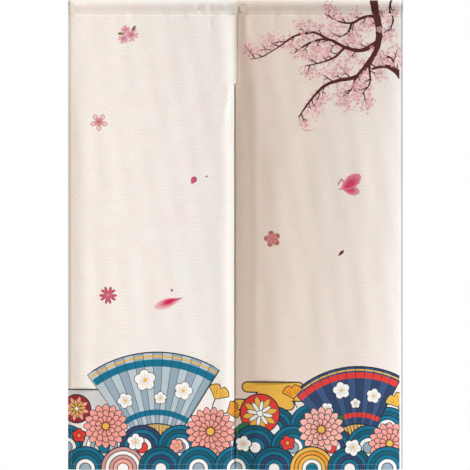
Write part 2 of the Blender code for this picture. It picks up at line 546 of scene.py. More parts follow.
def petal(x: float, down: float, length: float, width: float, turn: float, notch: float = 0.0) -> Points:
    """The outline of a petal that grows from a place. A deep notch splits a wide tip.

    Args:
        x: Where it starts, to the right.
        down: Where it starts, below the top.
        length: How long it is.
        width: How wide it is.
        turn: The direction in which it grows.
        notch: The depth of the split in its tip, as a share of its length.

    Returns:
        The closed outline.
    """
    along = np.array([0.0, 0.12, 0.32, 0.55, 0.76, 0.91, 1.0])
    half = np.array([0.10, 0.42, 0.78, 1.0, 0.92, 0.58, 0.22]) * width / 2
    if notch > 0.2:
        half = np.array([0.12, 0.34, 0.56, 0.78, 0.96, 1.0, 0.62]) * width / 2
    if length < COARSE_BELOW:
        along, half = along[[0, 2, 4, 6]], half[[0, 2, 4, 6]]
    tip = [[length * (1.0 - notch), 0.0]]
    local = np.concatenate([np.stack([along * length, half], axis=-1), tip,
                            np.stack([along * length, -half], axis=-1)[::-1]])
    c, s = math.cos(math.radians(turn)), math.sin(math.radians(turn))
    along, aside = local[:, 0], local[:, 1]
    return np.stack([x + along * c - aside * s, down - along * s - aside * c], axis=-1)


def grown(outline: Points, by: float) -> Points:
    """A closed outline moved outwards by a distance, or inwards where it is negative.

    Args:
        outline: The closed outline.
        by: The distance.

    Returns:
        The moved outline.
    """
    tangent = np.roll(outline, -1, axis=0) - np.roll(outline, 1, axis=0)
    length = np.maximum(np.linalg.norm(tangent, axis=1, keepdims=True), 1e-9)
    normal = np.stack([tangent[:, 1], -tangent[:, 0]], axis=-1) / length
    x, down = outline[:, 0], outline[:, 1]
    area = float(np.sum(x * np.roll(down, -1) - np.roll(x, -1) * down))
    return outline + normal * by * (1.0 if area > 0 else -1.0)


def curve_through(places: Sequence[tuple[float, float]], spacing: float) -> Points:
    """Points along a smooth curve through a few places.

    Args:
        places: The places, as x and down.
        spacing: About how far apart the points are.

    Returns:
        The points, from the first place to the last.
    """
    known = np.array(places, dtype=float)
    padded = np.concatenate([[2 * known[0] - known[1]], known, [2 * known[-1] - known[-2]]])
    line = []
    for a, b, c, d in zip(padded, padded[1:], padded[2:], padded[3:]):
        count = max(2, int(np.linalg.norm(c - b) / spacing))
        t = np.linspace(0.0, 1.0, count, endpoint=False)[:, None]
        line.append(0.5 * (2 * b + (c - a) * t + (2 * a - 5 * b + 4 * c - d) * t ** 2
                           + (3 * b - a - 3 * c + d) * t ** 3))
    return np.concatenate([*line, known[-1:]])


def stroke(line: Points, start: float, stop: float, knots: float = 0.0) -> Points:
    """The outline of a brush stroke along a line.

    Args:
        line: Places along its middle.
        start: Its width where it starts.
        stop: Its width where it stops.
        knots: How unevenly wide it is, as a share of its width.

    Returns:
        The closed outline.
    """
    tangent = np.gradient(line, axis=0)
    length = np.maximum(np.linalg.norm(tangent, axis=1, keepdims=True), 1e-9)
    normal = np.stack([tangent[:, 1], -tangent[:, 0]], axis=-1) / length
    half = np.linspace(start, stop, len(line))[:, None] / 2
    step = np.arange(len(line))[:, None]
    left = half * (1.0 + knots * (np.sin(1.3 * step) + np.sin(0.57 * step + 1.0)))
    right = half * (1.0 + knots * (np.sin(1.7 * step + 2.0) + np.sin(0.41 * step)))
    return np.concatenate([line + normal * left, (line - normal * right)[::-1]])


class Palette:
    """The colours of the print."""

    DARK = tone(30, 40, 56)
    TEAL = tone(0, 113, 145)
    DEEP_TEAL = tone(0, 92, 114)
    MIST_BLUE = tone(150, 172, 186)
    PALE_BLUE = tone(186, 202, 210)
    CORAL = tone(242, 166, 154)
    DEEP_CORAL = tone(226, 112, 92)
    RED = tone(226, 60, 52)
    WINE = tone(160, 34, 42)
    NAVY = tone(44, 66, 104)
    GOLD = tone(236, 184, 76)
    ORANGE = tone(240, 158, 46)
    PEARL = tone(206, 207, 208)
    WHITE = tone(246, 244, 240)
    ROSE = tone(206, 150, 146)
    GREEN = tone(44, 112, 74)
    LEAF = tone(96, 140, 70)
    BARK = tone(84, 32, 22)
    TWIG = tone(62, 26, 20)
    PALE_PINK = tone(238, 212, 208)
    RING = tone(202, 162, 164)


def outlined(outline: Points, ink: Ink, width: float = LINE) -> list[Patch]:
    """A filled outline with a dark line around it."""
    return [Patch(grown(outline, width / 2), Ink(Palette.DARK)), Patch(grown(outline, -width / 2), ink)]


@dataclass(frozen=True)
class Blossom:
    """A five-petalled blossom, seen from the front.

    plump is the width of a petal and notch the depth of the split in its tip, both as shares
    of the radius. tips holds the size and colour of the round marks in each petal's tip, and
    tip_at says how far out they lie.
    """

    x: float
    down: float
    radius: float
    turn: float
    heart: Colour
    rim: Colour
    edge: Colour | None = None
    cover: float = 1.0
    plump: float = 0.86
    notch: float = 0.16
    tips: tuple[tuple[float, Colour], ...] = ()
    tip_at: float = 0.68
    stamen: Colour = tone(140, 44, 56)

    def patches(self) -> list[Patch]:
        """Five petals and the stamens in the middle."""
        made = []
        for i in range(5):
            angle = self.turn + 72.0 * i
            base = polar(self.x, self.down, self.radius * 0.06, angle)
            outline = petal(*base, self.radius * 0.94, self.radius * self.plump, angle, self.notch)
            wash = Wash(self.heart, self.cover, self.rim, self.x, self.down, self.radius * 0.9)
            if self.edge is not None:
                made.append(Patch(grown(outline, self.radius * 0.04), Ink(self.edge, self.cover)))
                outline = grown(outline, -self.radius * 0.06)
            made.append(Patch(outline, wash))
            tip = polar(self.x, self.down, self.radius * self.tip_at, angle)
            for reach, colour in self.tips:
                made.append(Patch(disc(*tip, self.radius * reach, 14), Ink(colour, 0.8)))
        return made + self.stamens()

    def stamens(self) -> list[Patch]:
        """Short threads around a small heart."""
        ink = Ink(self.stamen, 0.7 * self.cover)
        size = self.radius * 0.1
        made = [Patch(disc(self.x, self.down, size, 6), ink)]
        for i in range(0 if self.radius < COARSE_BELOW else 5):
            tip = polar(self.x, self.down, self.radius * 0.36, self.turn + 36.0 + 72.0 * i)
            line = np.array([(self.x, self.down), tip])
            made.append(Patch(stroke(line, self.radius * 0.05, self.radius * 0.05), ink))
        return made


@dataclass(frozen=True)
class LoosePetal:
    """A single falling petal. Its deep colour lies at a share of its length."""

    x: float
    down: float
    length: float
    width: float
    turn: float
    deep: Colour
    pale: Colour
    notch: float = 0.1
    deep_at: float = 0.0
    cover: float = 0.95

    def patches(self) -> list[Patch]:
        """The petal, deep at one place and pale away from it."""
        middle = polar(self.x, self.down, self.length * self.deep_at, self.turn)
        wash = Wash(self.deep, self.cover, self.pale, *middle, self.length * 0.62)
        return [Patch(petal(self.x, self.down, self.length, self.width, self.turn, self.notch), wash)]


@dataclass(frozen=True)
class ShadedPetal:
    """A large falling petal that deepens in soft steps towards its core.

    core_size is the core's share of the petal's size, core_at how far along the petal the
    core starts, and aside how far it lies to one side.
    """

    x: float
    down: float
    length: float
    width: float
    turn: float
    rim: Colour
    core: Colour
    core_size: float = 0.4
    core_at: float = 0.3
    aside: float = 0.0
    steps: int = 7

    def patches(self) -> list[Patch]:
        """Petals inside each other, from the rim to the core."""
        made = []
        for i in range(self.steps):
            share = i / (self.steps - 1)
            size = 1.0 - (1.0 - self.core_size) * share
            start = polar(self.x, self.down, self.length * (1.0 - size) * self.core_at, self.turn)
            start = polar(*start, self.aside * share, self.turn + 90.0)
            eased = float(smooth(share))
            colour = tuple(r + (c - r) * eased for r, c in zip(self.rim, self.core))
            outline = petal(*start, self.length * size, self.width * size, self.turn)
            made.append(Patch(outline, Ink(colour, 0.9)))
        return made


@dataclass(frozen=True)
class Leaf:
    """A small pointed leaf."""

    x: float
    down: float
    length: float
    turn: float
    colour: Colour = Palette.LEAF
    line: float = 0.0

    def patches(self) -> list[Patch]:
        """The leaf and its middle vein."""
        outline = petal(self.x, self.down, self.length, self.length * 0.42, self.turn)
        made = [Patch(grown(outline, self.line), Ink(Palette.DARK))] if self.line else []
        vein = np.array([polar(self.x, self.down, self.length * r, self.turn) for r in (0.08, 0.5, 0.9)])
        made.append(Patch(outline, Ink(self.colour)))
        made.append(Patch(stroke(vein, self.length * 0.06, self.length * 0.02), Ink(Palette.DARK, 0.45)))
        return made


class Limb(NamedTuple):
    """A limb of the branch: the places it runs through, its width at both ends and its growth."""

    places: tuple[tuple[float, float], ...]
    start: float
    stop: float
    twigs: int
    bloom: float = 1.0


@dataclass
class Branch:
    """A blossoming branch: limbs drawn through listed places, twigs and blossoms grown on them."""

    limbs: tuple[Limb, ...]
    seed: int = 11
    clusters: list[tuple[float, float, float]] = field(default_factory=list)
    twigs: list[Patch] = field(default_factory=list)
    blossoms: list[Blossom] = field(default_factory=list)

    def __post_init__(self) -> None:
        """Grow every limb."""
        chance = random.Random(self.seed)
        for limb in self.limbs:
            self.grow(chance, limb)

    def grow(self, chance: random.Random, limb: Limb) -> None:
        """Add twigs along a limb, with a cluster of blossoms around each.

        Args:
            chance: The source of all that is left to chance.
            limb: The limb to grow them on.
        """
        line = curve_through(limb.places, 6.0)
        for i in range(limb.twigs):
            share = min((i + 0.6 + 0.5 * chance.random()) / (limb.twigs + 0.4), 1.0)
            at = int(share * (len(line) - 2)) + 1
            along = line[at] - line[at - 1]
            heading = math.degrees(math.atan2(-along[1], along[0]))
            turn = heading + chance.choice((-1, 1)) * chance.uniform(28.0, 64.0)
            length = chance.uniform(18.0, 40.0)
            start = tuple(line[at])
            bend = polar(*start, length * 0.5, turn)
            stop = polar(*bend, length * 0.5, turn + chance.uniform(-34.0, 34.0))
            fork = polar(*bend, length * 0.34, turn + chance.choice((-1, 1)) * chance.uniform(40.0, 70.0))
            for places, width in (((start, bend, stop), 3.4), ((bend, fork), 2.3)):
                outline = stroke(curve_through(places, 8.0), width, 0.9)
                self.twigs.append(Patch(outline, Ink(Palette.TWIG)))
            self.clusters += [(*bend, 13.0 * limb.bloom), (*stop, 17.0 * limb.bloom)]
            self.bloom(chance, stop, 15.0)

    def bloom(self, chance: random.Random, at: tuple[float, float], spread: float) -> None:
        """Add one or two pale blossoms in front of a twig.

        Args:
            chance: The source of all that is left to chance.
            at: The twig's end.
            spread: How far from it they may lie.
        """
        for i in range(2):
            x, down = polar(*at, spread * math.sqrt(chance.random()), chance.uniform(0.0, 360.0))
            heart, rim = chance.choice(((tone(222, 138, 146), tone(240, 196, 196)),
                                        (tone(232, 160, 164), tone(246, 214, 212))))
            radius, turn = chance.uniform(6.0, 9.0), chance.uniform(0.0, 72.0)
            blossom = Blossom(x, down, radius, turn, heart, rim, cover=chance.uniform(0.5, 0.75),
                              plump=0.72, stamen=tone(120, 52, 56))
            if i == 0 or len(self.twigs) % 3 == 0:
                self.blossoms.append(blossom)

    def density(self, places: Points) -> Points:
        """How thick the cloud of small blossoms is at each place, from 0 to 1.

        Args:
            places: Places on the flat cloth, as x and down.

        Returns:
            The value at each place.
        """
        clear = np.ones(len(places))
        for x, down, spread in self.clusters:
            clear *= 1.0 - 0.85 * bell(np.hypot(places[:, 0] - x, places[:, 1] - down), spread)
        return 1.0 - clear

    def patches(self) -> list[Patch]:
        """The twigs and the wood, then a few blossoms in front of them."""
        wood = [Patch(stroke(curve_through(limb.places, 5.0), limb.start, limb.stop, 0.07),
                      Ink(Palette.BARK if limb.start > 6.0 else Palette.TWIG)) for limb in self.limbs]
        return self.twigs + wood + [patch for blossom in self.blossoms for patch in blossom.patches()]


@dataclass(frozen=True)
class Scallop:
    """A round wave scale with rings of colour, the traditional overlapping kind."""

    x: float
    down: float
    radius: float
    rings: tuple[Colour, ...]

    def patches(self) -> list[Patch]:
        """The rings, the largest first."""
        made = []
        for i, colour in enumerate(self.rings):
            reach = self.radius * (1.0 - i / (len(self.rings) + 0.4))
            width = LINE if i == 0 else LINE * 0.7
            made += outlined(disc(self.x, self.down, reach, 46), Ink(colour), width)
        return made


@dataclass(frozen=True)
class Fan:
    """An open folding fan on its ribs."""

    x: float
    down: float
    radius: float
    inner: float
    start: float
    stop: float
    folds: int
    leaf: Colour
    shade: Colour
    band: Colour
    ribs: Colour

    def patches(self) -> list[Patch]:
        """The ribs, then the folded leaf with its coloured bands."""
        step = (self.stop - self.start) / self.folds
        made = []
        for i in range(self.folds):
            angle = self.start + step * (i + 0.5)
            line = self.spoke(angle, 0.0, self.inner * 0.5, self.inner + 4.0)
            made.append(Patch(stroke(line, 5.0, 8.5), Ink(Palette.DARK)))
            made.append(Patch(stroke(line, 2.4, 5.6), Ink(self.ribs)))
        made += outlined(self.slice(self.inner, self.radius, self.start, self.stop), Ink(self.leaf))
        for i in range(1, self.folds, 2):
            low = self.start + step * i
            outline = self.slice(self.inner + 2.0, self.radius - 2.0, low, low + step)
            made.append(Patch(outline, Ink(self.shade)))
        span = self.radius - self.inner
        bands = ((0.80, 0.90, self.band), (0.12, 0.20, self.band), (0.93, 0.955, Palette.GOLD))
        for low, high, colour in bands:
            inner, outer = self.inner + span * low, self.inner + span * high
            made.append(Patch(self.slice(inner, outer, self.start + 0.4, self.stop - 0.4), Ink(colour)))
        for i in range(1, self.folds):
            line = self.spoke(self.start + step * i, self.inner, self.radius)
            made.append(Patch(stroke(line, 1.3, 1.3), Ink(Palette.DARK)))
        made += self.flowers(span)
        return made + outlined(disc(self.x, self.down, 7.0, 16), Ink(Palette.GOLD))

    def slice(self, inner: float, outer: float, start: float, stop: float) -> Points:
        """The outline of a part of the leaf."""
        return sector(self.x, self.down, inner, outer, start, stop)

    def spoke(self, angle: float, *reaches: float) -> Points:
        """Places on a line out of the pivot."""
        return np.array([polar(self.x, self.down, reach, angle) for reach in reaches])

    def flowers(self, span: float) -> list[Patch]:
        """Plum blossoms scattered on the leaf.

        Args:
            span: The leaf's depth, from its inner edge to its outer one.

        Returns:
            The patches of the blossoms.
        """
        made = []
        placed = ((0.2, 0.52, 0.13), (0.43, 0.36, 0.09), (0.58, 0.62, 0.15), (0.83, 0.42, 0.11))
        for share, depth, size in placed:
            angle = self.start + (self.stop - self.start) * share
            x, down = polar(self.x, self.down, self.inner + span * depth, angle)
            made += Plum(x, down, span * size, angle, Palette.WHITE, 1.6).patches()
        return made


@dataclass(frozen=True)
class Plum:
    """A plum blossom of five round lobes."""

    x: float
    down: float
    radius: float
    turn: float
    colour: Colour
    line: float = LINE * 0.8

    def patches(self) -> list[Patch]:
        """The dark line, the lobes, a heart and its stamens."""
        places = [polar(self.x, self.down, self.radius * 0.56, self.turn + 72.0 * i) for i in range(5)]
        lobe = self.radius * 0.46
        made = [Patch(disc(*place, lobe + self.line / 2, 18), Ink(Palette.DARK)) for place in places]
        made += [Patch(disc(*place, lobe - self.line / 2, 18), Ink(self.colour)) for place in places]
        made.append(Patch(disc(self.x, self.down, lobe * 0.9, 16), Ink(self.colour)))
        made.append(Patch(disc(self.x, self.down, lobe * 0.42, 12), Ink(Palette.GOLD)))
        for i in range(10):
            line = [polar(self.x, self.down, lobe * r, self.turn + 36.0 * i) for r in (0.5, 1.15)]
            made.append(Patch(stroke(np.array(line), self.line * 0.4, self.line * 0.4), Ink(Palette.DARK)))
        return made


@dataclass(frozen=True)
class Chrysanthemum:
    """A round chrysanthemum of rings of narrow petals."""

    x: float
    down: float
    radius: float
    base: Colour
    tip: Colour
    petals: int = 16

    def patches(self) -> list[Patch]:
        """Rings of petals from the outside inwards, each turned half a petal, and the heart."""
        made = [Patch(disc(self.x, self.down, self.radius * 0.8), Ink(Palette.DARK))]
        rings = ((1.0, self.petals), (0.74, self.petals - 2), (0.48, self.petals - 5))
        for ring, (reach, count) in enumerate(rings):
            width = 2.0 * math.pi * self.radius * reach * 0.86 / count
            for i in range(count):
                angle = 360.0 * (i + 0.5 * (ring % 2)) / count
                start = polar(self.x, self.down, self.radius * reach * 0.34, angle)
                outline = petal(*start, self.radius * reach * 0.66, width, angle)
                wash = Wash(self.base, 1.0, self.tip, self.x, self.down, self.radius * reach)
                made += [Patch(grown(outline, LINE * 0.3), Ink(Palette.DARK)),
                         Patch(grown(outline, -LINE * 0.3), wash)]
        heart = self.radius * 0.17
        return made + outlined(disc(self.x, self.down, heart, 18), Ink(Palette.GOLD), LINE * 0.7)


@dataclass(frozen=True)
class Mist:
    """A traditional bank of mist: long bars with round ends, stepped above each other."""

    x: float
    down: float
    length: float
    bar: float
    steps: tuple[float, ...]
    colour: Colour

    def patches(self) -> list[Patch]:
        """One bar for each step, shifted sideways by it."""
        bars = []
        for i, shift in enumerate(self.steps):
            down = self.down + i * self.bar * 0.86
            ends = ((self.x + shift, down), (self.x + shift + self.length, down))
            bars.append(self.rounded(ends, self.bar))
        return ([Patch(grown(bar, LINE / 2), Ink(Palette.DARK)) for bar in bars]
                + [Patch(grown(bar, -LINE / 2), Ink(self.colour)) for bar in bars])

    @staticmethod
    def rounded(ends: tuple[tuple[float, float], tuple[float, float]], width: float) -> Points:
        """The outline of a level bar with round ends.

        Args:
            ends: The middles of its left and right ends.
            width: How wide it is.

        Returns:
            The closed outline.
        """
        (left, down), (right, _) = ends
        turn = np.radians(np.linspace(-90.0, 90.0, 14))
        half = width / 2
        near_cap = np.stack([right + half * np.cos(turn), down - half * np.sin(turn)], axis=-1)
        far_cap = np.stack([left - half * np.cos(turn), down + half * np.sin(turn)], axis=-1)
        return np.concatenate([near_cap, far_cap])


@dataclass(frozen=True)
class ThreadBall:
    """A ball wound with coloured thread."""

    x: float
    down: float
    radius: float
    turn: float
    ground: Colour
    first: Colour
    second: Colour

    def patches(self) -> list[Patch]:
        """The ball, with two crossed sets of spindles and a small heart."""
        made = outlined(disc(self.x, self.down, self.radius, 48), Ink(self.ground))
        rings = ((0.88, 0.30, self.first, 0.0), (0.66, 0.20, self.second, 22.5))
        for reach, width, colour, shift in rings:
            for i in range(8):
                angle = self.turn + shift + 45.0 * i
                outline = petal(self.x, self.down, self.radius * reach, self.radius * width, angle)
                made.append(Patch(grown(outline, 1.0), Ink(Palette.DARK)))
                made.append(Patch(grown(outline, -0.6), Ink(colour)))
        heart = self.radius * 0.16
        return made + outlined(disc(self.x, self.down, heart, 16), Ink(Palette.WHITE), 1.6)


@dataclass(frozen=True)
class Ginkgo:
    """A ginkgo leaf: a split fan on a thin stalk."""

    x: float
    down: float
    radius: float
    turn: float
    colour: Colour

    def patches(self) -> list[Patch]:
        """The stalk, then the leaf with fine veins."""
        angles = np.linspace(-52.0, 52.0, 19)
        reach = self.radius * (1.0 - 0.26 * bell(angles, 6.0) - 0.10 * (angles / 52.0) ** 2)
        rim = [polar(self.x, self.down, float(r), self.turn + float(a)) for a, r in zip(angles, reach)]
        stalk = np.array([polar(self.x, self.down, r, self.turn + 180.0 + r * 0.4)
                          for r in (0.0, self.radius * 0.35, self.radius * 0.7)])
        made = [Patch(stroke(stalk, LINE, LINE * 0.7), Ink(Palette.DARK))]
        made += outlined(np.array([(self.x, self.down), *rim]), Ink(self.colour), LINE * 0.8)
        for angle in (-34.0, -17.0, 17.0, 34.0):
            vein = [polar(self.x, self.down, self.radius * r, self.turn + angle) for r in (0.35, 0.82)]
            made.append(Patch(stroke(np.array(vein), 1.1, 0.5), Ink(Palette.DARK, 0.8)))
        return made


class Motif(Protocol):
    """Anything that gives patches; the print is a list of them."""

    def patches(self) -> list[Patch]:
        """Its patches, the ones below first."""


def blossoms_on_ground() -> list[Motif]:
    """The few blossoms and petals that fall over the open ground."""
    pink, blush, olive = tone(238, 150, 162), tone(243, 190, 200), tone(122, 116, 44)
    rose, dusk, mauve = tone(200, 66, 92), tone(132, 76, 86), tone(206, 140, 156)
    return [
        Blossom(-280.0, 76.0, 12.0, 100.0, rose, pink, mauve, 0.72, 0.74, 0.24),
        Blossom(-285.0, 98.0, 14.0, 30.0, rose, blush, mauve, 0.75, 0.74, 0.24),
        Blossom(-265.5, 88.0, 18.0, 64.0, tone(208, 60, 86), blush, mauve, 0.78, 0.7, 0.24),
        Leaf(-263.0, 80.0, 17.0, 62.0, olive), Leaf(-284.0, 85.5, 16.0, 178.0, olive),
        Blossom(-347.5, 310.5, 23.0, 270.0, tone(200, 76, 92), tone(230, 156, 160), plump=0.56, notch=0.0,
                tips=((0.29, Palette.RING), (0.19, Palette.PALE_PINK)), cover=0.85),
        Blossom(-324.0, 751.0, 21.5, 270.0, tone(228, 96, 118), tone(212, 82, 106), tone(150, 62, 84),
                plump=0.7, notch=0.36, stamen=blush),
        Blossom(93.5, 608.0, 21.0, 103.0, tone(214, 144, 124), tone(206, 122, 126), tone(186, 112, 116),
                0.88, 0.68, 0.14, ((0.2, tone(164, 94, 98)),), 0.8, tone(190, 116, 84)),
        LoosePetal(-112.0, 467.0, 20.0, 15.5, 58.0, tone(228, 78, 122), tone(156, 46, 80), 0.0, 0.5),
        LoosePetal(-78.0, 450.0, 8.5, 4.5, 15.0, dusk, tone(170, 110, 130)),
        ShadedPetal(-139.0, 759.5, 71.0, 26.0, 199.0, tone(238, 186, 188), tone(208, 22, 86),
                    0.34, 0.36, -2.6),
        LoosePetal(-134.0, 757.5, 26.0, 3.4, 196.0, tone(128, 92, 108), tone(196, 40, 94)),
        LoosePetal(-164.0, 742.0, 7.5, 6.5, 60.0, dusk, dusk, 0.0),
        ShadedPetal(273.0, 482.0, 43.0, 24.0, -9.0, tone(222, 150, 164), tone(208, 76, 110),
                    0.5, 0.2, 2.0),
        ShadedPetal(268.0, 482.0, 61.0, 33.0, 36.0, tone(222, 128, 148), tone(206, 58, 98),
                    0.4, 0.34, -3.0),
        LoosePetal(259.0, 472.0, 21.0, 5.0, 58.0, dusk, mauve),
        LoosePetal(268.0, 455.0, 15.0, 5.0, -50.0, dusk, mauve),
        LoosePetal(262.0, 482.0, 6.0, 5.0, 20.0, mauve, mauve),
        LoosePetal(260.0, 652.0, 22.0, 8.0, 45.0, tone(120, 40, 70), tone(190, 110, 136), 0.0, 0.5),
        LoosePetal(264.0, 648.0, 14.0, 4.4, 45.0, tone(84, 8, 40), tone(84, 8, 40)),
    ]


def branch_at_top() -> Branch:
    """The branch in the right panel's upper corner."""
    return Branch((
        Limb(((350.0, -12.0), (357.0, 34.0), (366.0, 82.0), (356.0, 132.0), (330.0, 172.0)),
             21.0, 12.0, 5, 0.7),
        Limb(((330.0, 172.0), (306.0, 196.0), (262.0, 205.0), (222.0, 222.0), (186.0, 262.0),
              (160.0, 300.0)), 12.0, 3.2, 9),
        Limb(((360.0, 108.0), (322.0, 128.0), (278.0, 120.0), (236.0, 100.0), (192.0, 108.0),
              (150.0, 134.0)), 12.0, 3.6, 8),
        Limb(((236.0, 100.0), (196.0, 82.0), (150.0, 92.0), (112.0, 118.0), (68.0, 144.0), (38.0, 150.0)),
             7.0, 2.0, 9),
        Limb(((278.0, 120.0), (252.0, 146.0), (214.0, 160.0), (178.0, 168.0)), 7.0, 2.2, 5),
        Limb(((357.0, 40.0), (326.0, 44.0), (296.0, 58.0), (262.0, 54.0), (228.0, 36.0)), 9.0, 2.4, 6),
        Limb(((296.0, 58.0), (286.0, 82.0), (262.0, 96.0)), 6.0, 2.2, 3),
        Limb(((425.0, 196.0), (404.0, 178.0), (378.0, 168.0), (346.0, 176.0)), 17.0, 5.0, 4, 0.8),
        Limb(((404.0, 178.0), (398.0, 150.0), (376.0, 138.0)), 6.5, 2.4, 3),
        Limb(((306.0, 196.0), (296.0, 226.0), (272.0, 246.0)), 7.0, 2.2, 5, 1.2),
        Limb(((340.0, 168.0), (342.0, 210.0), (322.0, 240.0)), 6.0, 2.0, 4, 1.2),
        Limb(((398.0, -10.0), (392.0, 22.0), (402.0, 52.0), (390.0, 80.0)), 5.4, 2.0, 4, 0.8),
    ))


def band_at_foot() -> list[Motif]:
    """The coloured band at the foot: fans, flowers, balls and mist over rows of wave scales."""
    p = Palette
    teal = (p.TEAL, p.DEEP_TEAL, p.TEAL, p.WHITE, p.MIST_BLUE)
    deep = (p.DEEP_TEAL, p.TEAL, p.NAVY, p.TEAL, p.WHITE)
    gold = (p.GOLD, p.ORANGE, p.GOLD, p.WHITE, p.TEAL)
    pearl = (p.PEARL, p.WHITE, p.MIST_BLUE, p.PEARL, p.TEAL)
    rose = (p.ROSE, p.WHITE, p.ROSE, p.CORAL, p.WHITE)
    navy = (p.NAVY, p.TEAL, p.NAVY, p.WHITE, p.RED)
    back = (teal, pearl, navy, teal, rose, deep, teal, navy, teal, deep)
    front = (gold, teal, rose, deep, teal, teal, deep, gold, deep, teal, teal)
    scales = [Scallop(-430.0 + 96.0 * i, 1138.0, 56.0, rings) for i, rings in enumerate(back)]
    scales += [Scallop(-478.0 + 96.0 * i, 1192.0, 56.0, rings) for i, rings in enumerate(front)]
    return [
        Mist(-470.0, 1004.0, 150.0, 26.0, (0.0, 44.0, -10.0), p.PEARL),
        Mist(30.0, 985.0, 130.0, 26.0, (0.0, 34.0, -24.0), p.GOLD),
        Fan(-200.0, 1196.0, 300.0, 118.0, 58.0, 126.0, 14, p.MIST_BLUE, p.PALE_BLUE, p.TEAL, p.GOLD),
        Scallop(98.0, 1090.0, 56.0, deep), Scallop(194.0, 1084.0, 56.0, teal),
        Scallop(386.0, 1092.0, 56.0, teal),
        Fan(312.0, 1168.0, 236.0, 90.0, 62.0, 134.0, 12, p.NAVY, tone(58, 86, 128), p.RED, p.GOLD),
        ThreadBall(62.0, 1052.0, 50.0, 12.0, p.RED, p.GOLD, p.WHITE),
        ThreadBall(-404.0, 1040.0, 36.0, 30.0, p.WINE, p.CORAL, p.GOLD),
        Ginkgo(-52.0, 1016.0, 40.0, 62.0, p.GOLD), Ginkgo(-22.0, 1050.0, 34.0, 20.0, p.ORANGE),
        Ginkgo(148.0, 1014.0, 36.0, 100.0, p.ORANGE), Ginkgo(414.0, 1036.0, 38.0, 110.0, p.GOLD),
        Leaf(-330.0, 1098.0, 54.0, 150.0, p.GREEN, 1.6), Leaf(-8.0, 1110.0, 52.0, 38.0, p.GREEN, 1.6),
        Leaf(214.0, 1098.0, 56.0, 140.0, p.GREEN, 1.6), Leaf(250.0, 1096.0, 46.0, 62.0, p.GREEN, 1.6),
        *scales[:10],
        Chrysanthemum(-330.0, 1084.0, 56.0, p.DEEP_CORAL, p.CORAL),
        Chrysanthemum(-64.0, 1098.0, 62.0, p.DEEP_CORAL, p.CORAL, 18),
        Chrysanthemum(218.0, 1092.0, 58.0, tone(214, 84, 76), tone(248, 190, 176)),
        Chrysanthemum(392.0, 1128.0, 54.0, p.DEEP_CORAL, p.CORAL),
        *scales[10:],
        Plum(-254.0, 1124.0, 22.0, 90.0, p.WHITE), Plum(-150.0, 1134.0, 18.0, 50.0, p.CORAL),
        Plum(-398.0, 1108.0, 18.0, 20.0, p.RED), Plum(20.0, 1130.0, 21.0, 80.0, p.WHITE),
        Plum(132.0, 1126.0, 19.0, 30.0, p.RED), Plum(298.0, 1138.0, 22.0, 64.0, p.WHITE),
    ]


@dataclass
class Design:
    """The whole print, as patches in the order in which they are laid down."""

    motifs: list[Motif]
    layers: list[Patch] = field(init=False)

    def __post_init__(self) -> None:
        """Collect the patches of every motif."""
        self.layers = [patch for motif in self.motifs for patch in motif.patches()]

    def bloom(self, places: Points) -> Points:
        """How thick the printed clouds of small blossoms are at each place."""
        return sum(motif.density(places) for motif in self.motifs if isinstance(motif, Branch))

    def within(self, left: float, right: float) -> list[Patch]:
        """The patches that reach into a stretch of the curtain."""
        return [patch for patch in self.layers
                if patch.outline[:, 0].max() > left and patch.outline[:, 0].min() < right]


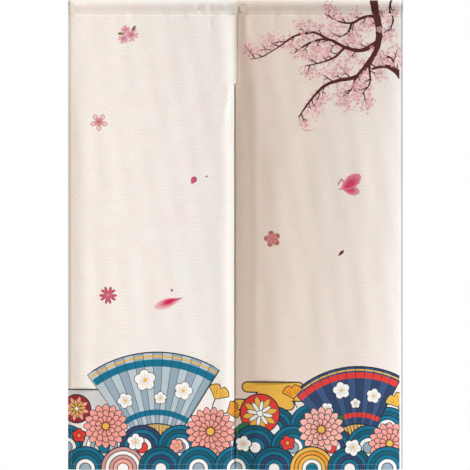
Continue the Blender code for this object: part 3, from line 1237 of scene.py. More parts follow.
@dataclass
class ClothSheet:
    """One panel's cloth, from the back of the rod pocket over the top and down to its foot."""

    name: str
    side: Side
    shape: HungShape
    design: Design
    spacing: float = 8.5

    @property
    def outer(self) -> float:
        """x of the panel's far edge."""
        return self.side.value * WIDTH / 2

    def inner_edge(self, down: Points) -> Points:
        """x of the panel's edge at the seam and the slit.

        Args:
            down: Distances below the top edge along the cloth.

        Returns:
            x at each of them.
        """
        if self.side is Side.LEFT:
            lapped = SEAM_EDGE + (SLIT_EDGE - SEAM_EDGE) * smooth((down - SLIT_TOP + TACK) / TACK)
            return np.where(down < HEADING_DROP, SEAM_EDGE - SEAM_GAP, lapped)
        return np.where(down < HEADING_DROP + 1.0, SEAM_EDGE + SEAM_GAP, TUCKED_EDGE)

    def outer_edge(self, down: Points) -> Points:
        """x of the panel's far edge."""
        overhang = -HEADING_OVERHANG if self.side is Side.LEFT else RIGHT_OVERHANG
        return np.full_like(down, self.outer + overhang)

    def rows(self) -> Points:
        """The downs of the grid rows: close together over the pocket and at the hems."""
        over = np.arange(self.shape.back_end, HEADING_DROP - 5.0, 2.6)
        seam = np.array([-4.0, -2.4, -1.2, 0.0, 1.2, 2.6, 5.0]) + HEADING_DROP
        body = np.arange(HEADING_DROP + 9.0, DROP - FOOT_HEM - 6.0, self.spacing)
        slit = np.array([SLIT_TOP - TACK, SLIT_TOP - TACK / 2, SLIT_TOP])
        hem = DROP - FOOT_HEM
        foot = np.array([hem - 1.2, hem, hem + 3.0, DROP - FOOT_HEM / 2, DROP])
        body = body[np.min(np.abs(body[:, None] - slit), axis=1) > 2.0]
        return np.sort(np.concatenate([over, seam, body, slit, foot]))

    def columns(self) -> Points:
        """Places of the grid columns, from 0 at the left edge to 1 at the right one."""
        width = WIDTH / 2
        seam = np.concatenate([np.arange(0.0, SIDE_HEM + 5.0, HEM_STEP), [15.0, 18.0, 22.0]])
        middle = np.arange(28.0, width - 24.0, self.spacing)
        edge = width - np.array([20.0, 16.0, 12.0, SIDE_HEM + HEM_STEP, SIDE_HEM, 5.2, 2.4, 1.2, 0.0])
        from_seam = np.concatenate([seam, middle, edge]) / width
        return from_seam if self.side is Side.RIGHT else 1.0 - from_seam[::-1]

    def hem_columns(self) -> Points:
        """The columns on both sides of the inner edges of the side hems."""
        away = np.minimum(self.columns(), 1.0 - self.columns()) * WIDTH / 2
        return np.flatnonzero((away > SIDE_HEM - 0.1) & (away < SIDE_HEM + HEM_STEP + 0.1))

    def grid(self) -> tuple[Points, Points, Points]:
        """The grid of the flat cloth: its x, its down and which places are on the rim."""
        rows, columns = self.rows(), self.columns()
        down = np.repeat(rows[:, None], len(columns), axis=1)
        near, far = self.inner_edge(down), self.outer_edge(down)
        left, right = np.minimum(near, far), np.maximum(near, far)
        return left + (right - left) * columns[None, :], down, np.arange(down.size).reshape(down.shape)

    def triangles(self) -> tuple[Points, Points]:
        """The flat cloth cut into triangles along the print's outlines.

        Returns:
            The places, as x and down, and the three places of each triangle.
        """
        x, down, index = self.grid()
        places = np.stack([x.ravel(), down.ravel()], axis=-1)
        rim = np.concatenate([index[0, :], index[1:, -1], index[-1, -2::-1], index[-2:0:-1, 0]])
        edges = [np.stack([rim, np.roll(rim, -1)], axis=-1)]
        hem_rows = [int(np.argmin(np.abs(self.rows() - (DROP - FOOT_HEM + k)))) for k in (-1.2, 0.0)]
        hem_lines = [index[row, :] for row in hem_rows]
        hem_lines += [index[:, column] for column in self.hem_columns()]
        for line in hem_lines:
            edges.append(np.stack([line[:-1], line[1:]], axis=-1))
        count = len(places)
        loops = [places]
        for patch in self.design.within(float(x.min()), float(x.max())):
            ring = np.arange(count, count + len(patch.outline))
            edges.append(np.stack([ring, np.roll(ring, -1)], axis=-1))
            loops.append(patch.outline)
            count += len(ring)
        flat = np.concatenate(loops)
        flat[:, 1] *= -1.0
        vectors = [Vector(place) for place in flat.tolist()]
        pairs = [tuple(edge) for edge in np.concatenate(edges).tolist()]
        made = delaunay_2d_cdt(vectors, pairs, [], 0, 1e-4, False)
        found = np.array([tuple(place) for place in made[0]])
        found[:, 1] *= -1.0
        return found, np.array(made[2])

    def kept(self, places: Points, triangles: Points) -> Points:
        """The triangles that lie on the cloth and have some area.

        Args:
            places: The flat places, as x and down.
            triangles: The three places of each triangle.

        Returns:
            The triangles that are kept.
        """
        middle = places[triangles].mean(axis=1)
        near, far = self.inner_edge(middle[:, 1]), self.outer_edge(middle[:, 1])
        left, right = np.minimum(near, far), np.maximum(near, far)
        inside = (middle[:, 0] > left - 1e-3) & (middle[:, 0] < right + 1e-3)
        inside &= (middle[:, 1] > self.shape.back_end) & (middle[:, 1] < DROP)
        a, b, c = places[triangles[:, 0]], places[triangles[:, 1]], places[triangles[:, 2]]
        area = (b[:, 0] - a[:, 0]) * (c[:, 1] - a[:, 1]) - (b[:, 1] - a[:, 1]) * (c[:, 0] - a[:, 0])
        return triangles[inside & (np.abs(area) > 1e-7)]

    def paint(self, places: Points, triangles: Points) -> Points:
        """The print at each triangle's corners.

        Args:
            places: The flat places, as x and down.
            triangles: The three places of each triangle.

        Returns:
            Red, green, blue and cover for each corner, the colour already scaled by the cover.
        """
        corners = places[triangles]
        middle = corners.mean(axis=1)
        colour = np.zeros((len(triangles), 3, 4))
        for patch in self.design.within(float(places[:, 0].min()), float(places[:, 0].max())):
            low, high = patch.outline.min(axis=0), patch.outline.max(axis=0)
            near = np.flatnonzero(np.all((middle > low) & (middle < high), axis=1))
            if not len(near):
                continue
            hit = near[patch.holds(middle[near])]
            ink = patch.ink.at(corners[hit].reshape(-1, 2)).reshape(-1, 3, 3)
            cover = patch.ink.cover
            colour[hit, :, :3] = ink * cover + colour[hit, :, :3] * (1.0 - cover)
            colour[hit, :, 3] = cover + colour[hit, :, 3] * (1.0 - cover)
        if self.side is Side.RIGHT:
            colour[middle[:, 0] > BARE_EDGE] = 0.0
        return colour

    def hemmed(self, places: Points) -> Points:
        """Which places lie on a turned hem.

        Args:
            places: The flat places, as x and down.

        Returns:
            True for each place on a hem.
        """
        x, down = places[:, 0], places[:, 1]
        near, far = self.inner_edge(down), self.outer_edge(down)
        edge = np.minimum(np.abs(x - near), np.abs(x - far)) * WIDTH / 2 / np.abs(far - near)
        return ((edge < SIDE_HEM + 0.3) | (down > DROP - FOOT_HEM - 0.3)) & (down > HEADING_DROP + 2.0)

    def build(self) -> bpy.types.Object:
        """The closed sheet: the printed face, the back with its hems, and the rim between them."""
        places, triangles = self.triangles()
        triangles = self.kept(places, triangles)
        used, triangles = np.unique(triangles, return_inverse=True)
        places, triangles = places[used], triangles.reshape(-1, 3)
        x, down = places[:, 0], places[:, 1]
        face = self.shape.face(self.side, x, down)
        out = self.shape.normal(self.side, x, down)
        thick = CLOTH + HEM_EXTRA * self.hemmed(places)
        back = face - out * thick[:, None]
        count = len(places)
        strip = [(b, a, a + count, b + count) for a, b in self.rim(triangles)]
        mesh = bpy.data.meshes.new(self.name)
        mesh.from_pydata((np.concatenate([face, back]) * MM).tolist(), [],
                         triangles.tolist() + (triangles[:, ::-1] + count).tolist() + strip)
        self.dress(mesh, places, triangles, np.array(strip), np.concatenate([out, -out]))
        piece = bpy.data.objects.new(self.name, mesh)
        bpy.context.scene.collection.objects.link(piece)
        log.info("%s: %d places, %d triangles, rim of %d", self.name, count, len(triangles) * 2, len(strip))
        return piece

    @staticmethod
    def rim(triangles: Points) -> list[tuple[int, int]]:
        """The sides that belong to one triangle only.

        Args:
            triangles: The three places of each triangle.

        Returns:
            The two places of each such side, in the direction in which its triangle runs.
        """
        directed = np.concatenate([triangles[:, [0, 1]], triangles[:, [1, 2]], triangles[:, [2, 0]]])
        once, uses = np.unique(np.sort(directed, axis=1), axis=0, return_counts=True)
        single = {tuple(pair) for pair in once[uses == 1].tolist()}
        return [(a, b) for a, b in directed.tolist() if tuple(sorted((a, b))) in single]

    def dress(self, mesh: bpy.types.Mesh, places: Points, triangles: Points, strip: Points,
              normals: Points) -> None:
        """Give the mesh its print, its maps, its materials' places and its smooth shading.

        Args:
            mesh: The closed sheet.
            places: The flat places of the cloth.
            triangles: The triangles of the printed face; the back has the same ones.
            strip: The quads of the rim.
            normals: Directions for the places of the face and of the back.
        """
        count = len(places)
        colour = self.paint(places, triangles)
        printed = [colour.reshape(-1, 4), colour[:, ::-1].reshape(-1, 4), np.zeros((4 * len(strip), 4))]
        layer = mesh.color_attributes.new("print", "FLOAT_COLOR", "CORNER")
        layer.data.foreach_set("color", np.concatenate(printed).ravel())
        corner = np.concatenate([triangles.ravel(), (triangles[:, ::-1] + count).ravel(), strip.ravel()])
        flat = np.concatenate([places, places])[corner]
        bloom = mesh.attributes.new("bloom", "FLOAT", "POINT")
        bloom.data.foreach_set("value", np.tile(self.design.bloom(places), 2))
        cut = mesh.uv_layers.new(name="cut")
        cut.data.foreach_set("uv", (flat * [MM, -MM]).ravel())
        low, high = places.min(axis=0), places.max(axis=0)
        baked = self.bake_places((flat - low) / (high - low), corner >= count)
        bake = mesh.uv_layers.new(name="OFBake")
        bake.data.foreach_set("uv", baked.ravel())
        face_slots, rim_slots = np.zeros(len(triangles), int), np.zeros(len(strip), int)
        back_slots = np.where(self.hemmed(places[triangles].mean(axis=1)), 0, 1)
        mesh.polygons.foreach_set("material_index", np.concatenate([face_slots, back_slots, rim_slots]))
        mesh.polygons.foreach_set("use_smooth", np.ones(len(mesh.polygons), bool))
        smooth_normals = normals[corner]
        rim_start = len(triangles) * 6
        for i, quad in enumerate(strip.tolist()):
            smooth_normals[rim_start + 4 * i:rim_start + 4 * i + 4] = self.flat_normal(mesh, quad)
        mesh.normals_split_custom_set(smooth_normals.tolist())
        mesh.uv_layers.active = cut

    @staticmethod
    def bake_places(share: Points, behind: Points) -> Points:
        """Where corners lie on the baked map: the face in its left half, the back in its right.

        Args:
            share: How far across and down the cloth each corner lies, from 0 to 1.
            behind: Which corners belong to the back.

        Returns:
            The two map coordinates of each corner.
        """
        near, far, wide, tall = 0.005, 0.995, 0.49, 0.99
        across = np.where(behind, far - wide * share[:, 0], near + wide * share[:, 0])
        return np.stack([across, far - tall * share[:, 1]], axis=-1)

    @staticmethod
    def flat_normal(mesh: bpy.types.Mesh, quad: Sequence[int]) -> Points:
        """The direction in which a quad of the rim faces.

        Args:
            mesh: The sheet.
            quad: Its four places.

        Returns:
            The direction, of length 1.
        """
        a, b, c, d = (np.array(mesh.vertices[i].co) for i in quad)
        out = np.cross(c - a, d - b)
        length = float(np.linalg.norm(out))
        return out / length if length > 1e-12 else np.array([0.0, 0.0, -1.0])


class StitchLine(NamedTuple):
    """A row of stitches on one panel, on its face or on its back."""

    side: Side
    start: tuple[float, float]
    stop: tuple[float, float]
    pitch: float
    on_back: bool


@dataclass
class Stitching:
    """All the sewing thread that shows on one panel, as one piece."""

    name: str
    shape: HungShape
    lines: list[StitchLine]
    length_share: float = 0.68
    width: float = 0.5
    height: float = 0.22

    def stitch(self, line: StitchLine, places: Points) -> Points:
        """Eight corners for each stitch of a line.

        Args:
            line: The row of stitches.
            places: The middle of each stitch, as x and down.

        Returns:
            The corners, in millimetres: a low ring and a smaller raised one.
        """
        along = np.array(line.stop) - np.array(line.start)
        along = along / np.linalg.norm(along)
        across = np.array([-along[1], along[0]])
        half, wide = line.pitch * self.length_share / 2, self.width / 2
        rings = []
        for reach, side_reach, lift in ((half, wide, -0.12), (half * 0.7, wide * 0.55, self.height)):
            for u, v in ((-1, -1), (1, -1), (1, 1), (-1, 1)):
                at = places + along * reach * u + across * side_reach * v
                out = self.shape.normal(line.side, at[:, 0], at[:, 1])
                face = self.shape.face(line.side, at[:, 0], at[:, 1])
                depth = -(CLOTH + HEM_EXTRA + lift) if line.on_back else lift
                rings.append(face + out * depth)
        return np.stack(rings, axis=1)

    def build(self) -> bpy.types.Object:
        """The joined mesh of every stitch."""
        blocks = []
        for line in self.lines:
            length = math.dist(line.start, line.stop)
            count = max(1, int(length / line.pitch))
            share = ((np.arange(count) + 0.5) / count)[:, None]
            places = np.array(line.start) * (1.0 - share) + np.array(line.stop) * share
            blocks.append(self.stitch(line, places))
        corners = np.concatenate(blocks)
        base = (np.arange(len(corners)) * 8)[:, None, None]
        box = np.array([(0, 3, 2, 1), (4, 5, 6, 7), (0, 1, 5, 4), (1, 2, 6, 5), (2, 3, 7, 6), (3, 0, 4, 7)])
        quads = (box[None] + base).reshape(-1, 4)
        mesh = bpy.data.meshes.new(self.name)
        mesh.from_pydata((corners.reshape(-1, 3) * MM).tolist(), [], quads.tolist())
        mesh.polygons.foreach_set("use_smooth", np.ones(len(mesh.polygons), bool))
        piece = bpy.data.objects.new(self.name, mesh)
        bpy.context.scene.collection.objects.link(piece)
        log.info("%s: %d stitches", self.name, len(corners))
        return piece


def sewing(side: Side) -> list[StitchLine]:
    """The rows of stitches that a maker leaves on one panel.

    Args:
        side: The panel.

    Returns:
        The rows at the foot, the two sides, the heading and the lap.
    """
    outer, far = side.value * SIDE_LINE, side.value * (WIDTH / 2 - 1.0)
    if side is Side.LEFT:
        inner, near = SLIT_EDGE - SIDE_HEM + 1.5, SEAM_EDGE - 1.0
    else:
        inner, near = SIDE_HEM + TUCKED_EDGE + 2.0, SEAM_EDGE + 1.0
    hems = (((far, FOOT_LINE), (inner, FOOT_LINE)), ((outer, 44.0), (outer, DROP - 3.0)),
            ((inner, SLIT_TOP + 4.0), (inner, DROP - 3.0)))
    lines = [StitchLine(side, *ends, HEM_PITCH, back) for ends in hems for back in (False, True)]
    lines.append(StitchLine(side, (far, HEADING_LINE), (near, HEADING_LINE), HEADING_PITCH, False))
    if side is Side.LEFT:
        for x in (LAP_LINE, 1.6):
            lines.append(StitchLine(side, (x, 2.0), (x, SLIT_TOP - 2.0), LAP_PITCH, False))
    return lines


def tacks() -> list[StitchLine]:
    """The close stitches that hold the ends of the seam, over the fold lines of the heading."""
    blocks = ((Side.LEFT, -11.0, -1.0, HEADING_DROP - 1.6, 3),
              (Side.RIGHT, PLEAT_AT - 1.0, PLEAT_AT + 2.6, HEADING_DROP - 1.4, 4),
              (Side.LEFT, -7.0, 1.0, SLIT_TOP - 4.0, 2))
    return [StitchLine(side, (left, down + 0.6 * row), (right, down + 0.6 * row), TACK_PITCH, False)
            for side, left, right, down, rows in blocks for row in range(rows)]



@dataclass
class Graph:
    """Builds a material's nodes and links them as they are made."""

    tree: bpy.types.NodeTree

    def node(self, kind: str, **settings: object) -> bpy.types.Node:
        """A new node, with its settings.

        Args:
            kind: The node's type.
            settings: Its properties by name.

        Returns:
            The node.
        """
        made = self.tree.nodes.new(kind)
        for name, value in settings.items():
            setattr(made, name, value)
        return made

    def feed(self, socket: Socket, value: object) -> None:
        """Link a socket to another one, or set its value.

        Args:
            socket: The socket that takes the value.
            value: A socket or a plain value.
        """
        if isinstance(value, Socket):
            self.tree.links.new(value, socket)
        else:
            socket.default_value = value

    def math(self, operation: str, *values: Value, clamp: bool = False) -> Socket:
        """The result of a math node, kept between 0 and 1 if asked.

        Args:
            operation: What the node does.
            values: Its inputs, in order.
            clamp: Whether to keep the result between 0 and 1.

        Returns:
            The socket with the result.
        """
        made = self.node("ShaderNodeMath", operation=operation, use_clamp=clamp)
        for socket, value in zip(made.inputs, values):
            self.feed(socket, value)
        return made.outputs[0]

    def vector(self, operation: str, *values: object) -> Socket:
        """The vector result of a vector math node.

        Args:
            operation: What the node does.
            values: Its inputs, in order.

        Returns:
            The socket with the result.
        """
        made = self.node("ShaderNodeVectorMath", operation=operation)
        for socket, value in zip(made.inputs, values):
            self.feed(socket, value)
        return made.outputs[0]

    def mix(self, share: Value, first: object, second: object) -> Socket:
        """A blend of two colours.

        Args:
            share: How much of the second one it takes.
            first: The first colour.
            second: The second colour.

        Returns:
            The socket with the colour.
        """
        made = self.node("ShaderNodeMix", data_type="RGBA")
        self.feed(made.inputs["Factor"], share)
        colours = [socket for socket in made.inputs if socket.type == "RGBA"]
        for socket, value in zip(colours, (first, second)):
            self.feed(socket, (*value, 1.0) if isinstance(value, tuple) and len(value) == 3 else value)
        return [socket for socket in made.outputs if socket.type == "RGBA"][0]

    def noise(self, vector: Socket, scale: float, detail: float) -> Socket:
        """A noise value from 0 to 1.

        Args:
            vector: The place.
            scale: How fine the noise is.
            detail: How many finer layers it has.

        Returns:
            The socket with the value.
        """
        made = self.node("ShaderNodeTexNoise")
        self.feed(made.inputs["Vector"], vector)
        made.inputs["Scale"].default_value = scale
        made.inputs["Detail"].default_value = detail
        return made.outputs[0]

    def stretched(self, vector: Socket, by: tuple[float, float, float]) -> Socket:
        """Coordinates scaled on each axis."""
        return self.vector("MULTIPLY", vector, by)


@dataclass(frozen=True)
class WaveGround:
    """The fine overlapping wave scales printed on the open ground."""

    radius: float = 0.0359
    row: float = 0.0236
    arc: float = 0.0099
    shift: tuple[float, float] = (0.0394, -0.0024)

    def lines(self, graph: Graph, x: Socket, z: Socket) -> Socket:
        """How strongly a fine line shows, from 0 to 1.

        Args:
            graph: The material's graph.
            x: Distance to the right along the cloth, in metres.
            z: Distance upwards along the cloth, in metres.

        Returns:
            The socket with the line's strength.
        """
        x, z = graph.math("SUBTRACT", x, self.shift[0]), graph.math("SUBTRACT", z, self.shift[1])
        below = graph.math("SUBTRACT", z, self.radius)
        lowest = graph.math("CEIL", graph.math("DIVIDE", below, self.row))
        away = None
        for step in (2.0, 1.0, 0.0):
            row = graph.math("ADD", lowest, step)
            shift = graph.math("MULTIPLY", graph.math("FLOORED_MODULO", row, 2.0), self.radius)
            across = graph.math("FLOORED_MODULO", graph.math("SUBTRACT", x, shift), 2.0 * self.radius)
            across = graph.math("SUBTRACT", across, self.radius)
            rise = graph.math("SUBTRACT", z, graph.math("MULTIPLY", row, self.row))
            square = graph.math("ADD", graph.math("POWER", graph.math("ABSOLUTE", across), 2.0),
                                graph.math("POWER", graph.math("ABSOLUTE", rise), 2.0))
            reach = graph.math("SQRT", square)
            if away is None:
                away = reach
                continue
            inside = graph.math("LESS_THAN", reach, self.radius)
            first = graph.math("MULTIPLY", reach, inside)
            second = graph.math("MULTIPLY", away, graph.math("SUBTRACT", 1.0, inside))
            away = graph.math("ADD", first, second)
        inwards = graph.math("SUBTRACT", self.radius, away)
        turns = graph.math("MULTIPLY", inwards, 2.0 * math.pi / self.arc)
        crest = graph.math("MULTIPLY_ADD", graph.math("COSINE", turns), 0.5, 0.5)
        return graph.math("POWER", crest, 1.6)


@dataclass(frozen=True)
class BlossomCloud:
    """Small translucent blossoms, printed in loose layers where the cloth's bloom value is high.

    layers holds how many blossoms fit in a metre and how far the layer is shifted. hollow and
    lobe are a blossom's reach between its petals and what a petal adds, as shares of a cell.
    """

    layers: tuple[tuple[float, float], ...] = ((74.0, 0.0), (92.0, 0.37), (118.0, 0.71))
    heart: Colour = tone(188, 104, 114)
    rim: Colour = tone(226, 172, 174)
    pale: Colour = tone(252, 230, 224)
    haze: Colour = tone(232, 198, 196)
    cover: float = 0.74
    haze_cover: float = 0.75
    petals: int = 5
    hollow: float = 0.26
    lobe: float = 0.34

    def over(self, graph: Graph, ground: Socket, cut: Socket) -> Socket:
        """The ground's colour with the blossoms printed over it.

        Args:
            graph: The material's graph.
            ground: The colour below them.
            cut: The place on the flat cloth, in metres.

        Returns:
            The socket with the colour.
        """
        bloom = graph.node("ShaderNodeAttribute", attribute_name="bloom").outputs["Fac"]
        uneven = graph.math("MULTIPLY_ADD", graph.noise(cut, 58.0, 2.0), 2.4, -0.7, clamp=True)
        haze = graph.math("MULTIPLY", graph.math("MULTIPLY_ADD", bloom, 1.3, -0.25, clamp=True), uneven)
        ground = graph.mix(graph.math("MULTIPLY", haze, self.haze_cover), ground, self.haze)
        for cells, shift in self.layers:
            place = graph.vector("ADD", cut, (shift, shift * 0.6, 0.0))
            ground = self.layer(graph, ground, place, cells, bloom)
        return ground

    def layer(self, graph: Graph, ground: Socket, place: Socket, cells: float,
              bloom: Socket) -> Socket:
        """One layer of blossoms, one in each cell.

        Args:
            graph: The material's graph.
            ground: The colour below the blossoms.
            place: The place on the cloth, in metres.
            cells: How many blossoms fit in a metre.
            bloom: How thick the cloud is.

        Returns:
            The colour with the blossoms.
        """
        cell = graph.node("ShaderNodeTexVoronoi", voronoi_dimensions="2D")
        graph.feed(cell.inputs["Vector"], place)
        cell.inputs["Scale"].default_value = cells
        chance = graph.node("ShaderNodeSeparateColor")
        graph.feed(chance.inputs[0], cell.outputs["Color"])
        local = graph.node("ShaderNodeSeparateXYZ")
        graph.feed(local.inputs[0], graph.vector("SUBTRACT", place, cell.outputs["Position"]))
        angle = graph.math("ARCTAN2", local.outputs["Y"], local.outputs["X"])
        angle = graph.math("MULTIPLY_ADD", chance.outputs[0], 2.0 * math.pi, angle)
        swing = graph.math("COSINE", graph.math("MULTIPLY", angle, self.petals / 2.0))
        lobe = graph.math("POWER", graph.math("ABSOLUTE", swing), 0.6)
        size = graph.math("MULTIPLY_ADD", lobe, self.lobe, self.hollow)
        reach = graph.math("DIVIDE", cell.outputs["Distance"], size)
        inside = graph.math("MULTIPLY", graph.math("SUBTRACT", 1.0, reach), 2.8, clamp=True)
        spare = graph.math("SUBTRACT", bloom, chance.outputs[1])
        shown = graph.math("MULTIPLY_ADD", spare, 4.0, -0.1, clamp=True)
        petals = graph.mix(chance.outputs[2], self.rim, self.pale)
        inner = graph.math("MULTIPLY_ADD", reach, -1.7, 1.2, clamp=True)
        colour = graph.mix(inner, petals, self.heart)
        cover = graph.math("MULTIPLY", graph.math("MULTIPLY", inside, shown), self.cover)
        return graph.mix(cover, ground, colour)


@dataclass(frozen=True)
class PrintedCloth:
    """The printed cloth: cream ground with fine waves, the print's inks, and the weave.

    bleed is how much of the print shows, less than 1 on the back. edges holds strips of painted shade along
    the rolled hem edges, by their start, stop and colour. The tone beside the seam is painted shade too.
    """

    name: str
    cream: Colour
    warm: Colour
    cool: Colour
    line: Colour
    # painted shade: the darker, warmer tone of the cloth beside the seam, fading out towards the far edge
    shade_beside_seam: Colour
    bleed: float = 1.0
    waves: WaveGround = WaveGround()
    cloud: BlossomCloud = BlossomCloud()
    # painted shade: darker strips along the rolled edges of the side hems
    edges: tuple[tuple[float, float, Colour], ...] = (
        (-430.0, -424.0, tone(214, 207, 200)), (-424.0, -421.2, tone(208, 200, 192)),
        (-421.2, -418.6, tone(222, 215, 208)), (421.6, 430.0, tone(204, 198, 192)))

    def material(self) -> bpy.types.Material:
        """The finished material."""
        made = bpy.data.materials.new(self.name)
        made.use_nodes = True
        graph = Graph(made.node_tree)
        shader = made.node_tree.nodes["Principled BSDF"]
        cut = graph.node("ShaderNodeUVMap", uv_map="cut").outputs["UV"]
        colour = self.inked(graph, self.ground(graph, cut))
        threads = self.weave(graph, cut)
        worn = graph.math("MULTIPLY_ADD", threads, 0.16, 0.92)
        graph.feed(shader.inputs["Base Color"], graph.vector("MULTIPLY", colour, self.grey(graph, worn)))
        bump = graph.node("ShaderNodeBump")
        bump.inputs["Strength"].default_value = 0.55
        bump.inputs["Distance"].default_value = 0.0004
        graph.feed(bump.inputs["Height"], threads)
        graph.feed(shader.inputs["Normal"], bump.outputs["Normal"])
        shader.inputs["Roughness"].default_value = 0.86
        shader.inputs["Specular IOR Level"].default_value = 0.25
        shader.inputs["Sheen Weight"].default_value = 0.12
        shader.inputs["Sheen Roughness"].default_value = 0.5
        return made

    def ground(self, graph: Graph, cut: Socket) -> Socket:
        """The cloth's colour: tints, waves, the bare edge, painted shade along the hem edges and beside the
        seam, and the blossoms' haze.

        Args:
            graph: The material's graph.
            cut: The place on the flat cloth, in metres.

        Returns:
            The socket with the colour.
        """
        split = graph.node("ShaderNodeSeparateXYZ")
        graph.feed(split.inputs[0], cut)
        x, z = split.outputs["X"], split.outputs["Y"]
        patchy = graph.math("MULTIPLY_ADD", graph.noise(cut, 21.0, 1.0), 4.0, -1.5, clamp=True)
        tint = graph.mix(patchy, self.warm, self.cool)
        blotch = graph.math("MULTIPLY_ADD", graph.noise(cut, 12.0, 2.0), 2.0, -0.4, clamp=True)
        ground = graph.mix(blotch, self.cream, tint)
        uneven = graph.math("MULTIPLY_ADD", graph.noise(cut, 26.0, 1.0), 1.5, -0.3, clamp=True)
        strength = graph.math("MULTIPLY", self.waves.lines(graph, x, z), uneven)
        ground = graph.mix(graph.math("MULTIPLY", strength, self.bleed), ground, self.line)
        bare = graph.math("GREATER_THAN", x, BARE_EDGE * MM)
        ground = graph.mix(bare, ground, tone(243, 245, 243))
        # painted shade along the hem edges
        for start, stop, shade in self.edges:
            on_line = graph.math("MULTIPLY", graph.math("GREATER_THAN", x, start * MM),
                                 graph.math("LESS_THAN", x, stop * MM))
            ground = graph.mix(on_line, ground, shade)
        # painted shade: darkens and warms the cloth beside the seam
        ground = graph.vector("MULTIPLY", ground, self.painted_seam_shade(graph, x))
        return self.cloud.over(graph, ground, cut)

    def inked(self, graph: Graph, ground: Socket) -> Socket:
        """The ground with the print's inks over it.

        Args:
            graph: The material's graph.
            ground: The cloth's own colour.

        Returns:
            The socket with the colour.
        """
        inks = graph.node("ShaderNodeVertexColor", layer_name="print")
        clear = graph.math("MULTIPLY_ADD", inks.outputs["Alpha"], -self.bleed, 1.0)
        under = graph.vector("MULTIPLY", ground, self.grey(graph, clear))
        over = graph.vector("MULTIPLY", inks.outputs["Color"], (self.bleed,) * 3)
        return graph.vector("ADD", under, over)

    def painted_seam_shade(self, graph: Graph, x: Socket) -> Socket:
        """Painted shade beside the seam: darker and warmer there, fading out towards the panel's far edge.
        """
        share = graph.math("MULTIPLY", x, 2.0 / (WIDTH * MM), clamp=True)
        return graph.mix(share, self.shade_beside_seam, tone(255, 255, 255))

    @staticmethod
    def grey(graph: Graph, value: Socket) -> Socket:
        """A value as a vector of three.

        Args:
            graph: The material's graph.
            value: The value.

        Returns:
            The socket with the vector.
        """
        made = graph.node("ShaderNodeCombineXYZ")
        for socket in made.inputs:
            graph.feed(socket, value)
        return made.outputs[0]

    @staticmethod
    def weave(graph: Graph, cut: Socket) -> Socket:
        """Threads of a plain weave with slubs, from 0 to 1.

        Args:
            graph: The material's graph.
            cut: The place on the flat cloth, in metres.

        Returns:
            The socket with the threads.
        """
        warp = graph.noise(graph.stretched(cut, (1.0, 0.08, 1.0)), 620.0, 2.0)
        weft = graph.noise(graph.stretched(cut, (0.08, 1.0, 1.0)), 620.0, 2.0)
        grain = graph.noise(cut, 260.0, 3.0)
        both = graph.math("ADD", graph.math("MULTIPLY", warp, 0.35), graph.math("MULTIPLY", weft, 0.35))
        return graph.math("MULTIPLY_ADD", grain, 0.3, both)


@dataclass(frozen=True)
class SewingThread:
    """Matt spun thread, a little darker than the cloth."""

    name: str
    colour: Colour

    def material(self) -> bpy.types.Material:
        """The finished material."""
        made = bpy.data.materials.new(self.name)
        made.use_nodes = True
        graph = Graph(made.node_tree)
        shader = made.node_tree.nodes["Principled BSDF"]
        place = graph.node("ShaderNodeTexCoord").outputs["Object"]
        darker = tuple(channel * 0.8 for channel in self.colour)
        colour = graph.mix(graph.noise(place, 900.0, 1.0), self.colour, darker)
        graph.feed(shader.inputs["Base Color"], colour)
        shader.inputs["Roughness"].default_value = 0.7
        return made


@dataclass(frozen=True)
class FloorPaint:
    """The matt pale paint of the floor."""

    name: str = "pale_floor"
    colour: Colour = (0.8, 0.79, 0.77)

    def material(self) -> bpy.types.Material:
        """The finished material."""
        made = bpy.data.materials.new(self.name)
        made.use_nodes = True
        shader = made.node_tree.nodes["Principled BSDF"]
        shader.inputs["Base Color"].default_value = (*self.colour, 1.0)
        shader.inputs["Roughness"].default_value = 0.9
        return made


@dataclass(frozen=True)
class Lamp:
    """A soft light aimed at the middle of the curtain.

    turn is how far to the right of the camera it stands and rise how far up, in degrees.
    distance and size are in metres, and power is in watts.
    """

    name: str
    turn: float
    rise: float
    distance: float
    size: tuple[float, float]
    power: float
    colour: Colour


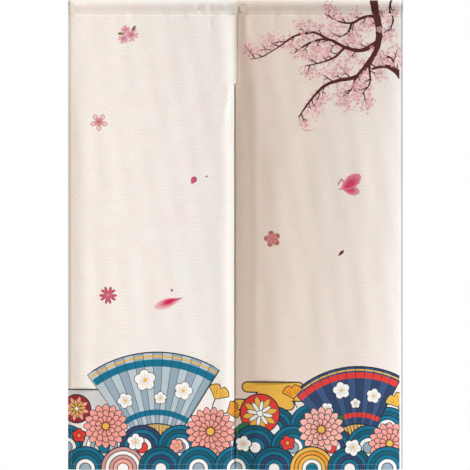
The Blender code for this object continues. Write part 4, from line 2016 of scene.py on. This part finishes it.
@dataclass
class Studio:
    """The camera, the soft lights, the white surroundings and the pale floor.

    The key light grazes the cloth from the right, a warm fill stands close on the left, and
    one light stands behind the curtain.
    """

    lamps: tuple[Lamp, ...] = (
        Lamp("key", 78.0, 27.0, 6.0, (1.0, 1.0), 575.0, (0.96, 1.0, 1.05)),
        Lamp("fill", -50.0, 15.0, 1.55, (0.6, 2.0), 11.9, (1.13, 0.985, 0.88)),
        Lamp("rear", 160.0, 25.0, 4.0, (1.6, 1.6), 90.0, (1.0, 0.99, 0.97)),
    )
    camera_distance: float = 4.0
    frame_height: float = 1.1972
    middle_x: float = -0.0013
    middle_z: float = -0.598
    floor_z: float = -1.27

    def camera(self) -> None:
        """A long lens, level and straight in front of the curtain."""
        data = bpy.data.cameras.new("camera")
        data.sensor_width = 36.0
        data.lens = 36.0 * self.camera_distance / self.frame_height
        made = bpy.data.objects.new("camera", data)
        made.location = (self.middle_x, -self.camera_distance, self.middle_z)
        made.rotation_euler = (math.pi / 2, 0.0, 0.0)
        bpy.context.scene.collection.objects.link(made)
        bpy.context.scene.camera = made

    def light(self, lamp: Lamp) -> None:
        """Add one of the lights.

        Args:
            lamp: The light.
        """
        data = bpy.data.lights.new(lamp.name, "AREA")
        data.shape = "RECTANGLE"
        data.size, data.size_y = lamp.size
        data.energy, data.color = lamp.power, lamp.colour
        made = bpy.data.objects.new(lamp.name, data)
        place = self.around(lamp.turn, lamp.rise, lamp.distance)
        made.location = place
        aim = Vector((0.0, 0.0, self.middle_z)) - Vector(place)
        made.rotation_euler = aim.to_track_quat("-Z", "Y").to_euler()
        bpy.context.scene.collection.objects.link(made)

    def around(self, turn: float, rise: float, distance: float) -> tuple[float, float, float]:
        """A place around the middle of the curtain.

        Args:
            turn: How far it is turned to the right, in degrees.
            rise: How far it is raised, in degrees.
            distance: How far away it is.

        Returns:
            The place.
        """
        turn, rise = math.radians(turn), math.radians(rise)
        level = distance * math.cos(rise)
        return level * math.sin(turn), -level * math.cos(turn), self.middle_z + distance * math.sin(rise)

    def surroundings(self) -> None:
        """White to the camera, and a softer white as light."""
        world = bpy.data.worlds.new("surroundings")
        world.use_nodes = True
        bpy.context.scene.world = world
        graph = Graph(world.node_tree)
        light = world.node_tree.nodes["Background"]
        light.inputs["Color"].default_value = (1.0, 0.99, 0.97, 1.0)
        light.inputs["Strength"].default_value = 0.11
        seen = graph.node("ShaderNodeBackground")
        seen.inputs["Color"].default_value = (1.0, 1.0, 1.0, 1.0)
        seen.inputs["Strength"].default_value = 1.0
        blend = graph.node("ShaderNodeMixShader")
        graph.feed(blend.inputs[0], graph.node("ShaderNodeLightPath").outputs["Is Camera Ray"])
        graph.feed(blend.inputs[1], light.outputs[0])
        graph.feed(blend.inputs[2], seen.outputs[0])
        graph.feed(world.node_tree.nodes["World Output"].inputs["Surface"], blend.outputs[0])
        bpy.context.scene.view_settings.view_transform = "Standard"

    def floor(self) -> None:
        """A plain pale floor below the curtain's foot."""
        left, right, front, rear = -1.6, 1.6, -1.8, 0.4
        mesh = bpy.data.meshes.new("floor")
        corners = [(left, front), (right, front), (right, rear), (left, rear)]
        mesh.from_pydata([(x, y, self.floor_z) for x, y in corners], [], [(0, 1, 2, 3)])
        mesh.materials.append(FloorPaint().material())
        made = bpy.data.objects.new("floor", mesh)
        bpy.context.scene.collection.objects.link(made)

    def build(self) -> None:
        """Everything around the curtain."""
        self.camera()
        for lamp in self.lamps:
            self.light(lamp)
        self.surroundings()
        self.floor()


# Each panel's cream, its warm and cool tints, the line of its waves and its painted shade beside the seam;
# the right panel's cream is a little darker and warmer than the left one's, which is painted shade too
GROUNDS = {
    Side.LEFT: (tone(245, 240, 234), tone(246, 238, 234), tone(241, 242, 236),
                tone(234, 228, 222), tone(255, 255, 255)),
    Side.RIGHT: (tone(243, 234, 226), tone(244, 233, 226), tone(240, 235, 227),
                 tone(234, 225, 216), tone(244, 234, 226)),
}


@dataclass
class Curtain:
    """The whole curtain: two cloth sheets, each with its sewing."""

    shape: HungShape = field(default_factory=HungShape)

    def build(self, motifs: list[Motif]) -> None:
        """Make and finish every piece and attach it to the root body.

        Args:
            motifs: The print's motifs, the ones at the back first.
        """
        design = Design(motifs)
        log.info("print: %d patches", len(design.layers))
        thread = SewingThread("sewing_thread", tone(226, 217, 204)).material()
        for side in Side:
            self.panel(side, design, thread)

    def panel(self, side: Side, design: Design, thread: bpy.types.Material) -> None:
        """Make one panel's sheet and its sewing, and attach them to the root body.

        Args:
            side: The panel.
            design: The print.
            thread: The material of its stitches.
        """
        word = side.name.lower()
        piece = ClothSheet(f"cloth_{word}", side, self.shape, design).build()
        face = PrintedCloth(f"printed_face_{word}", *GROUNDS[side])
        back = PrintedCloth(f"cloth_back_{word}", *GROUNDS[side], bleed=0.4)
        for finish in (face, back):
            piece.data.materials.append(finish.material())
        stitches = Stitching(f"stitches_{word}", self.shape, sewing(side)).build()
        stitches.data.materials.append(thread)
        sewn_on = [stitches]
        if side is Side.LEFT:
            tack = Stitching("bar_tacks", self.shape, tacks()).build()
            tack.data.materials.append(SewingThread("tack_thread", tone(158, 148, 134)).material())
            sewn_on.append(tack)
        for made in (piece, *sewn_on):
            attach(made, "root")
        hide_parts(f"panel_{word}", f"heading_{word}")


def main() -> None:
    """Build the curtain and its surroundings."""
    logging.basicConfig(level=logging.INFO, format="%(relativeCreated)6d ms %(message)s")
    motifs = [*blossoms_on_ground(), branch_at_top(), *band_at_foot()]
    Curtain().build(motifs)
    Studio().build()


if __name__ == "__main__":
    main()
